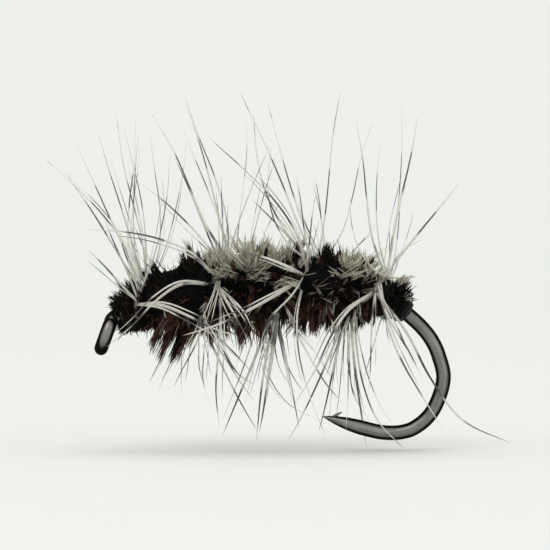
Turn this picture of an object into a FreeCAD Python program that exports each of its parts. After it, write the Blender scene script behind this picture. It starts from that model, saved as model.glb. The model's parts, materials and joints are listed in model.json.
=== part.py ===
import FreeCAD, Part
import math
import os

from FreeCAD import Vector

# A palmered dry fly tied on a size 16 down-eye hook. Millimetres.
# Origin: centre of the hook eye. +X runs back along the shank to the bend,
# +Z is up (the hook point hangs below), +Y is the fly's right-hand side.

GAP = 0.01              # clearance between stacked layers

# ---- hook ---------------------------------------------------------------
WIRE_R = 0.205
EYE_WIRE_R = 0.19       # wire radius where it is rolled into the eye
EYE_RING_R = 0.46       # radius of the eye ring's centreline
EYE_BORE_R = 0.28       # radius of the hole in the eye
EYE_BORE_LENGTH = 0.8
EYE_DOWN = Vector(-0.34, 0, -0.94)      # direction in which the eye hangs

# Centreline of the wire (x, z), from the eye round to the spear.
SHANK = [
    (0.156, 0.432), (0.50, 0.50), (0.87, 0.65), (1.55, 0.92), (2.23, 1.12),
    (3.25, 1.29), (4.27, 1.36), (5.29, 1.36), (6.31, 1.29), (6.99, 1.19),
    (7.53, 1.02), (7.87, 0.85), (8.20, 0.61), (8.46, 0.39),
]
BEND = [
    (8.68, 0.18), (8.87, -0.04), (9.02, -0.27), (9.13, -0.50), (9.21, -0.74),
    (9.28, -0.98), (9.31, -1.22), (9.28, -1.47), (9.21, -1.71), (9.12, -1.94),
    (9.00, -2.17), (8.84, -2.37), (8.64, -2.54), (8.40, -2.68), (8.13, -2.75),
    (7.87, -2.77), (7.55, -2.745), (7.25, -2.68), (6.95, -2.60),
]
SHANK_SHARE = 0.62      # share of the wire's parameter range searched for a place by x
SEARCH_STEPS = 50

# Spear beyond the bend: x, z, radius.
SPEAR = [(6.62, -2.505, 0.175), (6.30, -2.41, 0.115), (5.96, -2.31, 0.012)]

# Outline of the hook's barb (x, z), closed.
HOOK_BARB = [(6.25, -2.36), (6.50, -2.20), (6.56, -2.19), (6.58, -2.44), (6.25, -2.36)]
HOOK_BARB_WIDTH = 0.07

# ---- thread and lashed-down feather ends --------------------------------
BASE_R = 0.28           # outer radius of the thread bed on the shank
BASE_FROM, BASE_TO = 0.40, 8.30
BASE_STEPS = 16
THREAD_R = 0.032        # radius of the tying thread
THREAD_POINTS = 10      # curve points in one turn of thread

END_R = 0.04            # radius of a lashed-down feather end
END_LAY_R = BASE_R + GAP + END_R        # from the wire to the end's centreline
BUTT_X = (7.66, 7.80, 7.95, 8.10, 8.22)
TIP_X = (0.585, 0.64, 0.70, 0.76)
HERL_END_ANGLES = (150, 185, 220)       # degrees round the wire, 0 on top
HACKLE_BUTT_ANGLE = 40
HACKLE_TIP_ANGLE = -60

REAR_WRAP_FROM, REAR_WRAP_TO = 7.74, 8.26
REAR_WRAP_PITCH = 0.080
REAR_WRAP_PHASE = 0.4
REAR_WRAP_R = END_LAY_R + END_R + GAP / 2 + THREAD_R

# Layers behind the eye: x, outer radius, inner radius.
HEAD = [
    (0.36, 0.335, BASE_R + GAP), (0.46, 0.40, 0.300),
    (0.58, 0.45, END_LAY_R + END_R + GAP), (0.70, 0.44, END_LAY_R + END_R + GAP),
]
CEMENT = [(0.295, 0.29, 0.225), (0.33, 0.32, 0.235), (0.35, 0.325, 0.24)]

WHIP_FROM, WHIP_TO = 0.44, 0.66
WHIP_PITCH = 0.075
WHIP_PHASE = 1.0
WHIP_GAP = 0.012        # clearance between the head and the whip finish

# ---- herl ---------------------------------------------------------------
HERL_R = 0.085          # radius of one herl quill
HERL_TURN_R = BASE_R + GAP + HERL_R     # radius at which the quills are wound
HERL_STRANDS = 3
HERL_PITCH = 0.72       # advance of one strand in one turn round the shank
HERL_FROM, HERL_TO = 0.96, 7.55
HERL_POINTS = 12        # curve points in one turn of quill

# Herl fringe: x, height above and depth below the wire's centreline.
FRINGE = [
    (0.60, 0.62, 0.52), (1.07, 0.78, 0.62), (1.75, 1.00, 1.10), (2.57, 1.05, 1.38),
    (3.59, 1.18, 1.72), (4.61, 1.15, 1.40), (5.10, 1.12, 1.62), (5.97, 1.08, 1.52),
    (6.65, 1.10, 1.28), (7.20, 0.90, 1.05), (7.60, 0.66, 0.92), (8.00, 0.50, 0.70),
]
FRINGE_SHARE = 0.92     # the solid stands for the dense part of the fringe
FRINGE_IN_R = HERL_TURN_R + HERL_R + GAP
FRINGE_MIN_DEPTH = 0.10
FRINGE_STEM_DISTANCE = 0.13     # along the shank, from a stem turn's centre
FRINGE_STEPS = 18

# Section of the fringe: share of its width, share of its depth.
FRINGE_SECTION = [
    (0.0, 0.0), (0.0, 0.55), (0.22, 0.95), (0.5, 1.0),
    (0.78, 0.95), (1.0, 0.55), (1.0, 0.0), (0.5, 0.0),
]
# First and last stem turn that each fringe piece follows.
FRINGE_TURNS = {"front": (-0.38, 0.60), "middle": (0.62, 1.60), "rear": (1.62, 2.66)}

# ---- hackle -------------------------------------------------------------
STEM_R = 0.055
STEM_TURN_R = 0.57      # radius at which the stem is wound
STEM_FROM = -0.05       # turn number at the front end
STEM_LENGTH = 3.65      # turns
STEM_STEPS = 60

# Places along the shank that the stem passes, by turn number.
# Whole turns are on the left-hand side, quarters on top, halves on the right.
STEM_TURNS = [-0.4, 0.0, 1.0, 2.0, 3.0, 3.7]
STEM_X = [0.55, 0.80, 2.88, 5.29, 7.32, 7.90]

BARB_ROOT_R = 0.034     # radius of an average barb at its root
BARB_WIDTH_MAX = 1.4    # relative width beyond which a barb grows no thicker
BARB_WIDTH_POWER = 0.6  # evens out the difference between thin and thick barbs
BARB_TAPER = 0.68       # share of the radius lost by the tip
BARB_SIDES = 6
BARB_RINGS = 2          # rings for each stretch between a barb's points

# Barbs by fan: relative width, then points (x, y, z) from the root at the stem to the tip.
BARBS = {
    "hackle_1_left": [
        (1.30, (0.88, -0.62, 0.81), (1.57, -1.56, 0.82), (2.26, -2.44, 0.58),
         (2.94, -3.27, 0.28), (3.65, -4.07, 0.10)),
        (1.11, (0.83, -0.60, 0.92), (0.46, -1.67, 1.38), (0.05, -2.80, 1.89), (-0.38, -3.96, 2.42)),
        (1.16, (0.85, -0.56, 1.01), (0.61, -1.55, 1.71), (0.33, -2.60, 2.47), (0.03, -3.67, 3.26)),
        (1.03, (0.90, -0.48, 1.14), (0.73, -1.53, 1.73), (0.56, -2.66, 2.37), (0.39, -3.81, 3.04)),
        (0.92, (0.91, -0.37, 1.25), (0.31, -1.11, 2.28), (-0.34, -1.90, 3.37), (-1.02, -2.69, 4.50)),
        (0.91, (0.95, -0.30, 1.31), (0.42, -1.01, 2.56), (-0.16, -1.75, 3.87), (-0.77, -2.51, 5.22)),
    ],
    "hackle_1_top": [
        (1.20, (0.98, -0.35, 1.27), (1.32, -0.93, 2.12), (1.57, -1.46, 3.07),
         (1.72, -1.97, 4.05), (1.77, -2.47, 5.03)),
        (1.00, (0.97, -0.27, 1.33), (0.79, -0.61, 2.34), (0.76, -0.92, 3.44),
         (0.82, -1.22, 4.54), (0.94, -1.51, 5.64)),
        (1.00, (0.96, -0.19, 1.34), (0.55, 0.21, 2.31), (-0.11, 0.57, 3.23),
         (-0.90, 0.92, 4.05), (-1.75, 1.26, 4.80)),
        (1.00, (1.02, -0.15, 1.39), (0.75, -0.56, 2.39), (0.43, -0.94, 3.45),
         (0.10, -1.30, 4.51), (-0.18, -1.65, 5.59)),
        (1.00, (1.08, -0.09, 1.42), (1.09, -0.53, 2.47), (0.99, -0.94, 3.59),
         (0.77, -1.34, 4.69), (0.48, -1.71, 5.78)),
        (1.00, (1.06, 0.01, 1.43), (0.60, 0.36, 2.40), (0.61, 0.69, 3.57),
         (0.77, 1.01, 4.74), (0.78, 1.31, 5.92)),
        (1.00, (1.13, 0.08, 1.44), (0.96, 0.57, 2.52), (0.69, 1.03, 3.65),
         (0.41, 1.47, 4.77), (0.20, 1.89, 5.92)),
        (1.20, (1.20, 0.15, 1.45), (1.45, 0.68, 2.40), (1.44, 1.17, 3.47),
         (1.29, 1.64, 4.52), (1.14, 2.09, 5.58)),
        (1.00, (1.25, 0.23, 1.44), (1.61, 0.93, 2.31), (1.86, 1.58, 3.28),
         (2.04, 2.19, 4.27), (2.16, 2.79, 5.27)),
    ],
    "hackle_1_right": [
        (1.24, (1.59, 0.58, 1.24), (1.25, 1.68, 1.76), (0.93, 2.86, 2.32), (0.66, 4.07, 2.92)),
        (0.93, (1.65, 0.62, 1.17), (1.30, 2.03, 1.39), (0.93, 3.54, 1.60), (0.57, 5.10, 1.80)),
        (0.95, (1.72, 0.63, 1.14), (1.87, 1.82, 1.52), (2.01, 3.09, 1.90), (2.12, 4.41, 2.27)),
        (1.07, (1.87, 0.65, 0.99), (1.91, 1.86, 1.11), (1.98, 3.15, 1.24), (2.09, 4.47, 1.37)),
        (1.13, (1.90, 0.64, 0.91), (1.65, 1.86, 0.45), (1.34, 3.16, -0.03), (0.98, 4.49, -0.54)),
        (1.00, (2.00, 0.61, 0.80), (1.84, 1.50, 0.24), (1.66, 2.33, -0.36),
         (1.44, 3.13, -0.95), (1.14, 3.89, -1.50)),
        (1.15, (2.09, 0.59, 0.79), (2.63, 1.96, 0.38), (3.24, 3.41, -0.04), (3.90, 4.90, -0.47)),
        (0.96, (2.15, 0.52, 0.68), (2.07, 1.68, -0.20), (2.02, 2.92, -1.10), (2.01, 4.21, -2.02)),
        (1.29, (2.24, 0.48, 0.66), (2.83, 1.52, 0.05), (3.44, 2.62, -0.62), (4.05, 3.75, -1.32)),
    ],
    "hackle_1_bottom": [
        (1.20, (2.28, 0.44, 0.63), (2.79, 1.25, 0.17), (3.15, 2.02, -0.49),
         (3.51, 2.74, -1.15), (4.08, 3.45, -1.63)),
        (1.20, (2.32, 0.35, 0.59), (2.49, 1.22, 0.08), (2.52, 2.03, -0.49),
         (2.52, 2.80, -1.07), (2.64, 3.55, -1.63)),
        (1.00, (2.39, 0.21, 0.54), (2.34, 1.05, 0.03), (2.28, 1.84, -0.53),
         (2.20, 2.60, -1.08), (2.09, 3.32, -1.63)),
        (1.00, (2.45, 0.04, 0.54), (2.19, 0.92, -0.01), (1.90, 1.74, -0.59),
         (1.61, 2.52, -1.17), (1.35, 3.27, -1.77)),
        (1.02, (2.53, -0.10, 0.52), (2.98, -0.30, -0.49), (3.53, -0.53, -1.56), (4.17, -0.77, -2.65)),
        (1.00, (2.56, -0.20, 0.57), (2.92, -1.09, 0.10), (3.26, -1.92, -0.43),
         (3.62, -2.71, -0.96), (4.06, -3.47, -1.42)),
        (1.90, (2.61, -0.35, 0.64), (2.59, -1.11, 0.14), (2.42, -1.82, -0.37),
         (2.17, -2.50, -0.85), (1.90, -3.15, -1.33)),
        (1.20, (2.67, -0.44, 0.71), (2.74, -1.28, 0.15), (2.70, -2.06, -0.47),
         (2.68, -2.81, -1.08), (2.83, -3.53, -1.67)),
    ],
    "hackle_2_left": [
        (1.30, (2.97, -0.63, 1.30), (3.27, -1.10, 1.13), (3.58, -1.57, 0.89),
         (3.84, -2.01, 0.60), (4.03, -2.44, 0.24)),
        (1.35, (2.89, -0.62, 1.37), (2.10, -1.56, 1.41), (1.38, -2.42, 0.96),
         (0.78, -3.25, 0.34), (0.11, -4.04, -0.20)),
        (1.20, (2.91, -0.51, 1.35), (2.37, -0.14, 0.80), (1.91, 0.21, 0.10),
         (1.53, 0.54, -0.66), (1.17, 0.86, -1.42)),
        (1.50, (3.00, -0.61, 1.41), (3.21, -1.43, 1.12), (3.43, -2.21, 0.79),
         (3.64, -2.95, 0.46), (3.84, -3.66, 0.12)),
        (1.00, (2.99, -0.54, 1.60), (2.37, -1.25, 2.25), (1.49, -1.91, 2.65),
         (0.54, -2.53, 2.85), (-0.42, -3.14, 2.94)),
        (1.40, (3.06, -0.51, 1.51), (3.15, -0.94, 0.57), (3.10, -1.34, -0.45),
         (3.05, -1.73, -1.47), (3.12, -2.10, -2.49)),
        (1.10, (3.09, -0.50, 1.61), (2.98, -1.32, 1.20), (2.80, -2.08, 0.78),
         (2.60, -2.81, 0.36), (2.43, -3.52, -0.07)),
        (1.00, (3.17, -0.43, 1.70), (3.11, -1.32, 1.26), (3.00, -2.16, 0.80),
         (2.88, -2.95, 0.33), (2.80, -3.72, -0.14)),
        (1.16, (3.20, -0.39, 1.81), (3.21, -1.34, 2.62), (3.22, -2.36, 3.49), (3.21, -3.41, 4.37)),
        (1.00, (3.21, -0.20, 1.84), (2.72, 0.65, 2.45), (2.15, 1.43, 3.06),
         (1.53, 2.18, 3.62), (0.84, 2.89, 4.09)),
    ],
    "hackle_2_top": [
        (1.17, (3.19, -0.36, 1.83), (2.79, -1.20, 2.80), (2.37, -2.09, 3.83), (1.93, -3.01, 4.89)),
        (1.12, (3.28, -0.29, 1.88), (3.60, -0.83, 2.92), (4.01, -1.40, 4.04), (4.50, -1.99, 5.21)),
        (1.20, (3.36, -0.15, 1.94), (3.33, -0.60, 3.09), (3.01, -1.02, 4.29),
         (2.56, -1.42, 5.46), (2.16, -1.80, 6.63)),
        (0.92, (3.41, -0.02, 1.96), (3.06, 0.03, 3.39), (2.65, 0.09, 4.90), (2.18, 0.13, 6.46)),
        (1.40, (3.43, 0.09, 1.94), (2.80, 0.67, 2.84), (2.31, 1.22, 3.91),
         (1.83, 1.74, 4.99), (1.22, 2.24, 6.00)),
        (1.00, (3.50, 0.16, 1.93), (3.18, 0.85, 2.86), (2.81, 1.48, 3.83),
         (2.41, 2.09, 4.80), (2.01, 2.67, 5.77)),
        (0.95, (3.57, 0.23, 1.92), (3.64, 0.98, 2.89), (3.75, 1.68, 3.92),
         (3.85, 2.34, 4.95), (3.90, 2.97, 5.98)),
    ],
    "hackle_2_right": [
        (1.07, (3.82, 0.51, 1.74), (4.07, 1.49, 2.74), (4.36, 2.53, 3.81), (4.70, 3.60, 4.92)),
        (1.00, (3.91, 0.58, 1.63), (4.15, 1.71, 2.22), (4.45, 2.91, 2.86), (4.80, 4.13, 3.55)),
        (1.11, (3.98, 0.63, 1.51), (4.00, 1.99, 1.87), (4.01, 3.43, 2.25), (4.02, 4.91, 2.65)),
        (1.08, (4.04, 0.65, 1.39), (3.67, 1.85, 1.53), (3.27, 3.13, 1.70), (2.85, 4.44, 1.89)),
        (1.22, (4.11, 0.65, 1.32), (4.14, 1.96, 1.28), (4.11, 3.35, 1.23), (4.02, 4.79, 1.18)),
        (1.19, (4.20, 0.63, 1.20), (4.44, 2.11, 1.00), (4.65, 3.68, 0.79), (4.82, 5.29, 0.58)),
        (0.96, (4.26, 0.61, 1.12), (4.76, 1.89, 0.54), (5.27, 3.24, -0.08), (5.78, 4.63, -0.71)),
        (0.92, (4.29, 0.55, 1.01), (4.02, 1.76, 0.20), (3.71, 3.03, -0.67), (3.37, 4.33, -1.58)),
        (1.29, (4.36, 0.46, 0.90), (4.04, 1.38, -0.22), (3.64, 2.35, -1.42), (3.15, 3.34, -2.66)),
    ],
    "hackle_2_bottom": [
        (1.25, (4.50, 0.35, 0.82), (4.58, 1.26, 0.26), (4.46, 2.10, -0.34),
         (4.26, 2.90, -0.93), (4.15, 3.68, -1.54)),
        (1.00, (4.57, 0.25, 0.77), (4.70, 1.13, 0.10), (4.87, 1.95, -0.61),
         (5.12, 2.72, -1.29), (5.52, 3.47, -1.90)),
        (1.21, (4.57, 0.15, 0.73), (4.20, 0.45, -0.43), (3.72, 0.75, -1.66), (3.15, 1.06, -2.93)),
        (1.18, (4.65, 0.09, 0.71), (4.87, 0.17, -0.34), (5.10, 0.28, -1.47), (5.32, 0.41, -2.63)),
        (1.25, (4.72, -0.08, 0.71), (4.46, -0.08, -0.44), (4.26, -0.11, -1.67), (4.12, -0.15, -2.93)),
        (1.13, (4.80, -0.20, 0.74), (4.59, -0.44, -0.34), (4.40, -0.70, -1.50), (4.23, -1.00, -2.69)),
        (1.00, (4.82, -0.29, 0.78), (4.38, -1.04, 0.00), (4.44, -1.74, -0.96),
         (4.96, -2.40, -1.77), (5.80, -3.05, -2.24)),
        (1.20, (4.91, -0.35, 0.81), (5.22, -1.16, 0.15), (5.58, -1.92, -0.55),
         (6.00, -2.65, -1.22), (6.54, -3.35, -1.80)),
    ],
    "hackle_3_left": [
        (1.30, (5.28, -0.52, 1.41), (4.59, -0.05, 1.07), (3.86, 0.39, 0.65),
         (3.19, 0.81, 0.15), (2.60, 1.22, -0.46)),
        (1.45, (5.32, -0.62, 1.45), (4.59, -1.57, 1.06), (3.80, -2.45, 0.66),
         (2.99, -3.29, 0.33), (2.14, -4.10, 0.10)),
        (1.30, (5.37, -0.48, 1.49), (4.88, 0.21, 0.81), (4.65, 0.86, -0.07),
         (4.76, 1.48, -0.98), (5.22, 2.07, -1.76)),
        (1.10, (5.41, -0.60, 1.54), (5.19, -1.29, 1.21), (4.89, -1.95, 0.89),
         (4.58, -2.58, 0.58), (4.34, -3.19, 0.21)),
        (1.20, (5.41, -0.58, 1.63), (5.00, -1.20, 1.87), (4.52, -1.79, 2.09),
         (4.01, -2.36, 2.24), (3.49, -2.91, 2.28)),
        (1.24, (5.51, -0.55, 1.71), (5.57, -1.79, 2.41), (5.65, -3.11, 3.14), (5.73, -4.49, 3.89)),
        (1.30, (5.51, -0.49, 1.62), (5.27, -1.08, 0.60), (5.31, -1.62, -0.52),
         (5.58, -2.13, -1.61), (6.00, -2.63, -2.65)),
        (1.00, (5.53, -0.47, 1.79), (5.20, -1.16, 2.82), (4.56, -1.79, 3.79),
         (3.76, -2.40, 4.63), (2.90, -2.98, 5.41)),
        (1.15, (5.54, -0.36, 1.68), (5.29, -0.04, 1.18), (5.08, 0.28, 0.58),
         (4.98, 0.58, -0.05), (5.02, 0.87, -0.68)),
        (1.00, (5.64, -0.20, 1.89), (5.29, 0.34, 2.31), (4.90, 0.85, 2.77),
         (4.48, 1.34, 3.22), (4.03, 1.82, 3.63)),
    ],
    "hackle_3_top": [
        (1.30, (5.65, -0.34, 1.89), (5.52, -1.04, 2.46), (5.42, -1.69, 3.10),
         (5.34, -2.31, 3.75), (5.22, -2.92, 4.39)),
        (1.00, (5.68, -0.24, 1.91), (5.03, -0.90, 2.49), (4.58, -1.51, 3.31),
         (4.44, -2.10, 4.23), (4.53, -2.66, 5.17)),
        (1.20, (5.74, -0.15, 1.96), (5.26, -0.66, 3.08), (4.79, -1.12, 4.28),
         (4.29, -1.56, 5.47), (3.71, -1.99, 6.63)),
        (1.35, (5.82, -0.01, 1.96), (6.01, 0.68, 3.06), (6.15, 1.32, 4.24),
         (6.28, 1.93, 5.42), (6.46, 2.51, 6.60)),
        (1.00, (5.81, 0.08, 1.94), (5.02, 0.57, 2.69), (4.46, 1.02, 3.71),
         (4.16, 1.45, 4.83), (4.03, 1.87, 5.98)),
        (1.00, (5.87, 0.15, 1.95), (5.45, 0.69, 2.96), (5.07, 1.19, 4.07),
         (4.74, 1.67, 5.19), (4.45, 2.13, 6.32)),
        (1.00, (5.96, 0.20, 1.92), (6.50, 0.97, 2.74), (6.82, 1.69, 3.74),
         (7.05, 2.37, 4.77), (7.37, 3.02, 5.77)),
    ],
    "hackle_3_right": [
        (1.16, (6.08, 0.48, 1.76), (6.00, 1.44, 2.58), (5.89, 2.46, 3.47), (5.74, 3.51, 4.39)),
        (1.23, (6.12, 0.55, 1.65), (5.82, 1.67, 2.26), (5.53, 2.86, 2.91), (5.27, 4.08, 3.59)),
        (1.05, (6.20, 0.59, 1.58), (6.63, 1.81, 1.98), (7.08, 3.11, 2.42), (7.53, 4.44, 2.86)),
        (0.95, (6.23, 0.63, 1.46), (6.11, 1.87, 1.77), (5.98, 3.20, 2.10), (5.84, 4.56, 2.42)),
        (0.93, (6.29, 0.65, 1.32), (6.32, 1.98, 1.38), (6.34, 3.39, 1.42), (6.36, 4.85, 1.44)),
        (0.92, (6.33, 0.64, 1.18), (6.07, 1.86, 0.86), (5.86, 3.16, 0.53), (5.70, 4.49, 0.18)),
        (0.97, (6.38, 0.61, 1.04), (6.24, 1.91, 0.50), (6.02, 3.27, -0.09), (5.74, 4.67, -0.71)),
        (0.91, (6.44, 0.56, 0.92), (6.38, 1.73, 0.29), (6.30, 2.98, -0.38), (6.19, 4.27, -1.04)),
        (1.06, (6.49, 0.47, 0.80), (6.40, 1.48, -0.34), (6.28, 2.54, -1.54), (6.13, 3.63, -2.77)),
    ],
    "hackle_3_bottom": [
        (1.00, (6.54, 0.40, 0.75), (6.41, 1.39, 0.25), (6.31, 2.31, -0.29),
         (6.23, 3.18, -0.83), (6.18, 4.03, -1.37)),
        (1.20, (6.61, 0.30, 0.66), (6.71, 1.17, -0.15), (6.74, 1.98, -1.03),
         (6.88, 2.74, -1.90), (7.33, 3.48, -2.65)),
        (1.12, (6.61, 0.20, 0.62), (6.40, 0.40, -0.44), (6.15, 0.61, -1.57), (5.85, 0.82, -2.74)),
        (1.01, (6.65, 0.10, 0.59), (6.19, 0.37, -0.60), (5.62, 0.67, -1.86), (4.97, 1.00, -3.14)),
        (1.23, (6.75, -0.03, 0.57), (6.83, -0.03, -0.63), (6.98, -0.04, -1.92), (7.19, -0.05, -3.25)),
        (1.00, (6.76, -0.16, 0.62), (6.61, -1.17, 0.17), (6.52, -2.12, -0.32),
         (6.50, -3.01, -0.82), (6.54, -3.88, -1.33)),
        (1.25, (6.85, -0.29, 0.62), (6.89, -1.07, -0.33), (7.06, -1.79, -1.33),
         (7.45, -2.48, -2.26), (8.15, -3.15, -2.99)),
        (1.00, (6.89, -0.39, 0.68), (6.70, -1.28, -0.07), (6.65, -2.11, -0.90),
         (6.64, -2.90, -1.73), (6.57, -3.66, -2.56)),
    ],
    "hackle_4_left": [
        (1.40, (7.32, -0.63, 1.13), (6.68, -1.46, 0.69), (6.18, -2.24, 0.02),
         (5.79, -2.98, -0.73), (5.38, -3.70, -1.46)),
        (1.00, (7.44, -0.57, 1.13), (8.26, -0.83, 0.07), (8.92, -1.06, -1.20),
         (9.78, -1.29, -2.33), (11.07, -1.51, -2.92)),
        (1.20, (7.36, -0.50, 1.18), (6.90, -0.03, 0.73), (6.56, 0.42, 0.11),
         (6.32, 0.85, -0.56), (6.08, 1.26, -1.22)),
        (1.35, (7.42, -0.61, 1.21), (7.32, -1.61, 0.59), (7.27, -2.53, -0.08),
         (7.24, -3.41, -0.76), (7.17, -4.26, -1.43)),
        (1.20, (7.41, -0.45, 1.25), (7.08, 0.32, 0.80), (6.84, 1.05, 0.25),
         (6.72, 1.74, -0.35), (6.68, 2.41, -0.95)),
        (1.60, (7.49, -0.56, 1.29), (7.67, -1.47, 0.71), (7.97, -2.31, 0.13),
         (8.30, -3.12, -0.44), (8.62, -3.89, -1.02)),
        (1.25, (7.56, -0.45, 1.37), (7.71, -1.15, 0.38), (8.09, -1.79, -0.62),
         (8.60, -2.41, -1.55), (9.17, -3.00, -2.46)),
        (1.28, (7.64, -0.38, 1.54), (8.28, -1.38, 2.41), (8.95, -2.45, 3.32), (9.65, -3.56, 4.25)),
    ],
    "hackle_4_top": [
        (0.97, (7.62, -0.35, 1.57), (7.74, -1.03, 2.56), (7.91, -1.76, 3.60), (8.13, -2.52, 4.66)),
        (1.00, (7.63, -0.24, 1.58), (7.24, -0.74, 1.91), (6.95, -1.22, 2.40),
         (6.77, -1.67, 2.95), (6.68, -2.12, 3.52)),
        (1.10, (7.71, -0.15, 1.63), (7.92, -0.58, 2.71), (8.07, -0.97, 3.89),
         (8.13, -1.35, 5.07), (8.09, -1.71, 6.26)),
        (1.20, (7.70, -0.02, 1.62), (7.34, 0.50, 2.61), (7.19, 0.98, 3.72),
         (7.10, 1.44, 4.84), (6.91, 1.88, 5.95)),
        (1.25, (7.77, 0.08, 1.62), (7.93, 0.56, 2.67), (8.17, 1.00, 3.78),
         (8.43, 1.42, 4.90), (8.64, 1.82, 6.02)),
        (1.00, (7.82, 0.14, 1.53), (7.97, 0.31, 1.52), (8.18, 0.52, 1.51),
         (8.39, 0.71, 1.51), (8.60, 0.89, 1.50)),
        (0.95, (7.76, 0.16, 1.59), (7.55, 0.85, 2.45), (7.47, 1.48, 3.40),
         (7.50, 2.09, 4.36), (7.64, 2.67, 5.30)),
        (1.00, (7.80, 0.25, 1.54), (7.91, 0.78, 1.85), (8.13, 1.31, 2.16),
         (8.44, 1.81, 2.38), (8.79, 2.29, 2.52)),
    ],
    "hackle_4_right": [
        (1.28, (7.80, 0.55, 1.27), (7.99, 1.76, 2.06), (8.13, 3.04, 2.91), (8.20, 4.37, 3.81)),
        (0.90, (7.78, 0.61, 1.16), (7.83, 1.91, 1.79), (7.89, 3.28, 2.46), (7.94, 4.70, 3.14)),
        (1.05, (7.77, 0.65, 1.01), (8.12, 2.02, 1.12), (8.42, 3.48, 1.26), (8.66, 4.98, 1.41)),
        (1.14, (7.73, 0.65, 0.87), (7.76, 2.00, 0.57), (7.75, 3.42, 0.25), (7.70, 4.89, -0.08)),
        (0.99, (7.70, 0.63, 0.75), (7.74, 1.98, 0.33), (7.82, 3.41, -0.12), (7.95, 4.89, -0.61)),
        (1.11, (7.66, 0.58, 0.62), (7.50, 1.81, -0.09), (7.32, 3.11, -0.85), (7.12, 4.45, -1.63)),
    ],
}


# ---- curves and places --------------------------------------------------
def interpolate(x, xs, ys):
    """Value at x on the straight lines through (xs, ys), held level beyond the ends."""
    if x <= xs[0]:
        return ys[0]
    for x0, x1, y0, y1 in zip(xs, xs[1:], ys, ys[1:]):
        if x <= x1:
            return y0 + (y1 - y0) * (x - x0) / (x1 - x0)
    return ys[-1]


def spline(points):
    curve = Part.BSplineCurve()
    curve.interpolate(points)
    return curve


WIRE = spline([Vector(x, 0, z) for x, z in SHANK + BEND])


def wire_at(x):
    """Centre, tangent and upward normal of the wire at a place along the shank."""
    low = WIRE.FirstParameter
    high = low + SHANK_SHARE * (WIRE.LastParameter - low)
    for _ in range(SEARCH_STEPS):
        middle = (low + high) / 2
        if WIRE.value(middle).x < x:
            low = middle
        else:
            high = middle
    tangent = WIRE.tangent(low)[0]
    tangent.normalize()
    return WIRE.value(low), tangent, Vector(-tangent.z, 0, tangent.x)


def around(x, radius, angle):
    """A point at a radius from the wire; angle 0 is on top, a quarter turn on the right."""
    centre, _, up = wire_at(x)
    return centre + up * (radius * math.cos(angle)) + Vector(0, radius * math.sin(angle), 0)


def stem_place(turn):
    """Place along the shank and angle round it of the hackle stem."""
    return interpolate(turn, STEM_TURNS, STEM_X), 2 * math.pi * turn - math.pi / 2


# ---- solids -------------------------------------------------------------
def circle(centre, normal, radius):
    return Part.Wire(Part.makeCircle(radius, centre, normal))


def tube(curve, radius):
    """A round rod along a curve."""
    first = curve.FirstParameter
    section = circle(curve.value(first), curve.tangent(first)[0], radius)
    return Part.Wire(curve.toShape()).makePipeShell([section], True, False)


def skin(rings):
    """A closed solid with flat facets through rings of corners."""
    count = len(rings[0])
    faces = []

    def add_facet(*corners):
        faces.append(Part.Face(Part.makePolygon([*corners, corners[0]])))

    for ring, following in zip(rings, rings[1:]):
        for j in range(count):
            k = (j + 1) % count
            add_facet(ring[j], ring[k], following[k])
            add_facet(ring[j], following[k], following[j])
    for ring in (rings[0], rings[-1]):
        centre = sum(ring, Vector()) * (1.0 / count)
        for j in range(count):
            add_facet(centre, ring[j], ring[(j + 1) % count])
    solid = Part.makeSolid(Part.makeShell(faces))
    if solid.Volume < 0:
        solid.reverse()
    return solid


def sleeve(stations):
    """A ring-shaped layer round the wire through stations of x, outer and inner radius."""
    outer_rings, inner_rings = [], []
    for x, outer, inner in stations:
        centre, tangent, _ = wire_at(x)
        outer_rings.append(circle(centre, tangent, outer))
        inner_rings.append(circle(centre, tangent, inner))
    return Part.makeLoft(outer_rings, True, False).cut(Part.makeLoft(inner_rings, True, False))


def coil(start, end, pitch, turn_radius, rod_radius, phase, points_per_turn):
    """Thread or quill wound round the wire; turn_radius is a function of x."""
    turns = (end - start) / pitch
    count = round(turns * points_per_turn)
    points = []
    for i in range(count + 1):
        share = i / count
        x = start + (end - start) * share
        points.append(around(x, turn_radius(x), phase + 2 * math.pi * turns * share))
    return tube(spline(points), rod_radius)


# ---- pieces -------------------------------------------------------------
def make_hook():
    """Eye, shank, bend, spear, barb and point in one."""
    bore_axis = Vector(0, 1, 0).cross(EYE_DOWN)
    bore_axis.normalize()
    ring = Part.makeTorus(EYE_RING_R, EYE_WIRE_R, Vector(0, 0, 0), bore_axis)
    wire = tube(WIRE, WIRE_R)

    last = WIRE.LastParameter
    sections = [circle(WIRE.value(last), WIRE.tangent(last)[0], WIRE_R)]
    centres = [Vector(x, 0, z) for x, z in BEND[-1:] + [station[:2] for station in SPEAR]]
    for i, (_, _, radius) in enumerate(SPEAR, 1):
        heading = centres[min(i + 1, len(SPEAR))] - centres[i - 1]
        sections.append(circle(centres[i], heading, radius))
    spear = Part.makeLoft(sections, True, False)

    # the barb is a sliver raised from the side of the spear that faces the shank
    outline = Part.makePolygon([Vector(x, -HOOK_BARB_WIDTH / 2, z) for x, z in HOOK_BARB])
    barb = Part.Face(outline).extrude(Vector(0, HOOK_BARB_WIDTH, 0))

    bore_start = bore_axis * (-EYE_BORE_LENGTH / 2)
    bore = Part.makeCylinder(EYE_BORE_R, EYE_BORE_LENGTH, bore_start, bore_axis)
    hook = wire.fuse([ring, spear, barb]).cut(bore).removeSplitter()
    return max(hook.Solids, key=lambda solid: solid.Volume)


def make_thread_base():
    step = (BASE_TO - BASE_FROM) / BASE_STEPS
    return sleeve([(BASE_FROM + step * i, BASE_R, WIRE_R + GAP) for i in range(BASE_STEPS + 1)])


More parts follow.
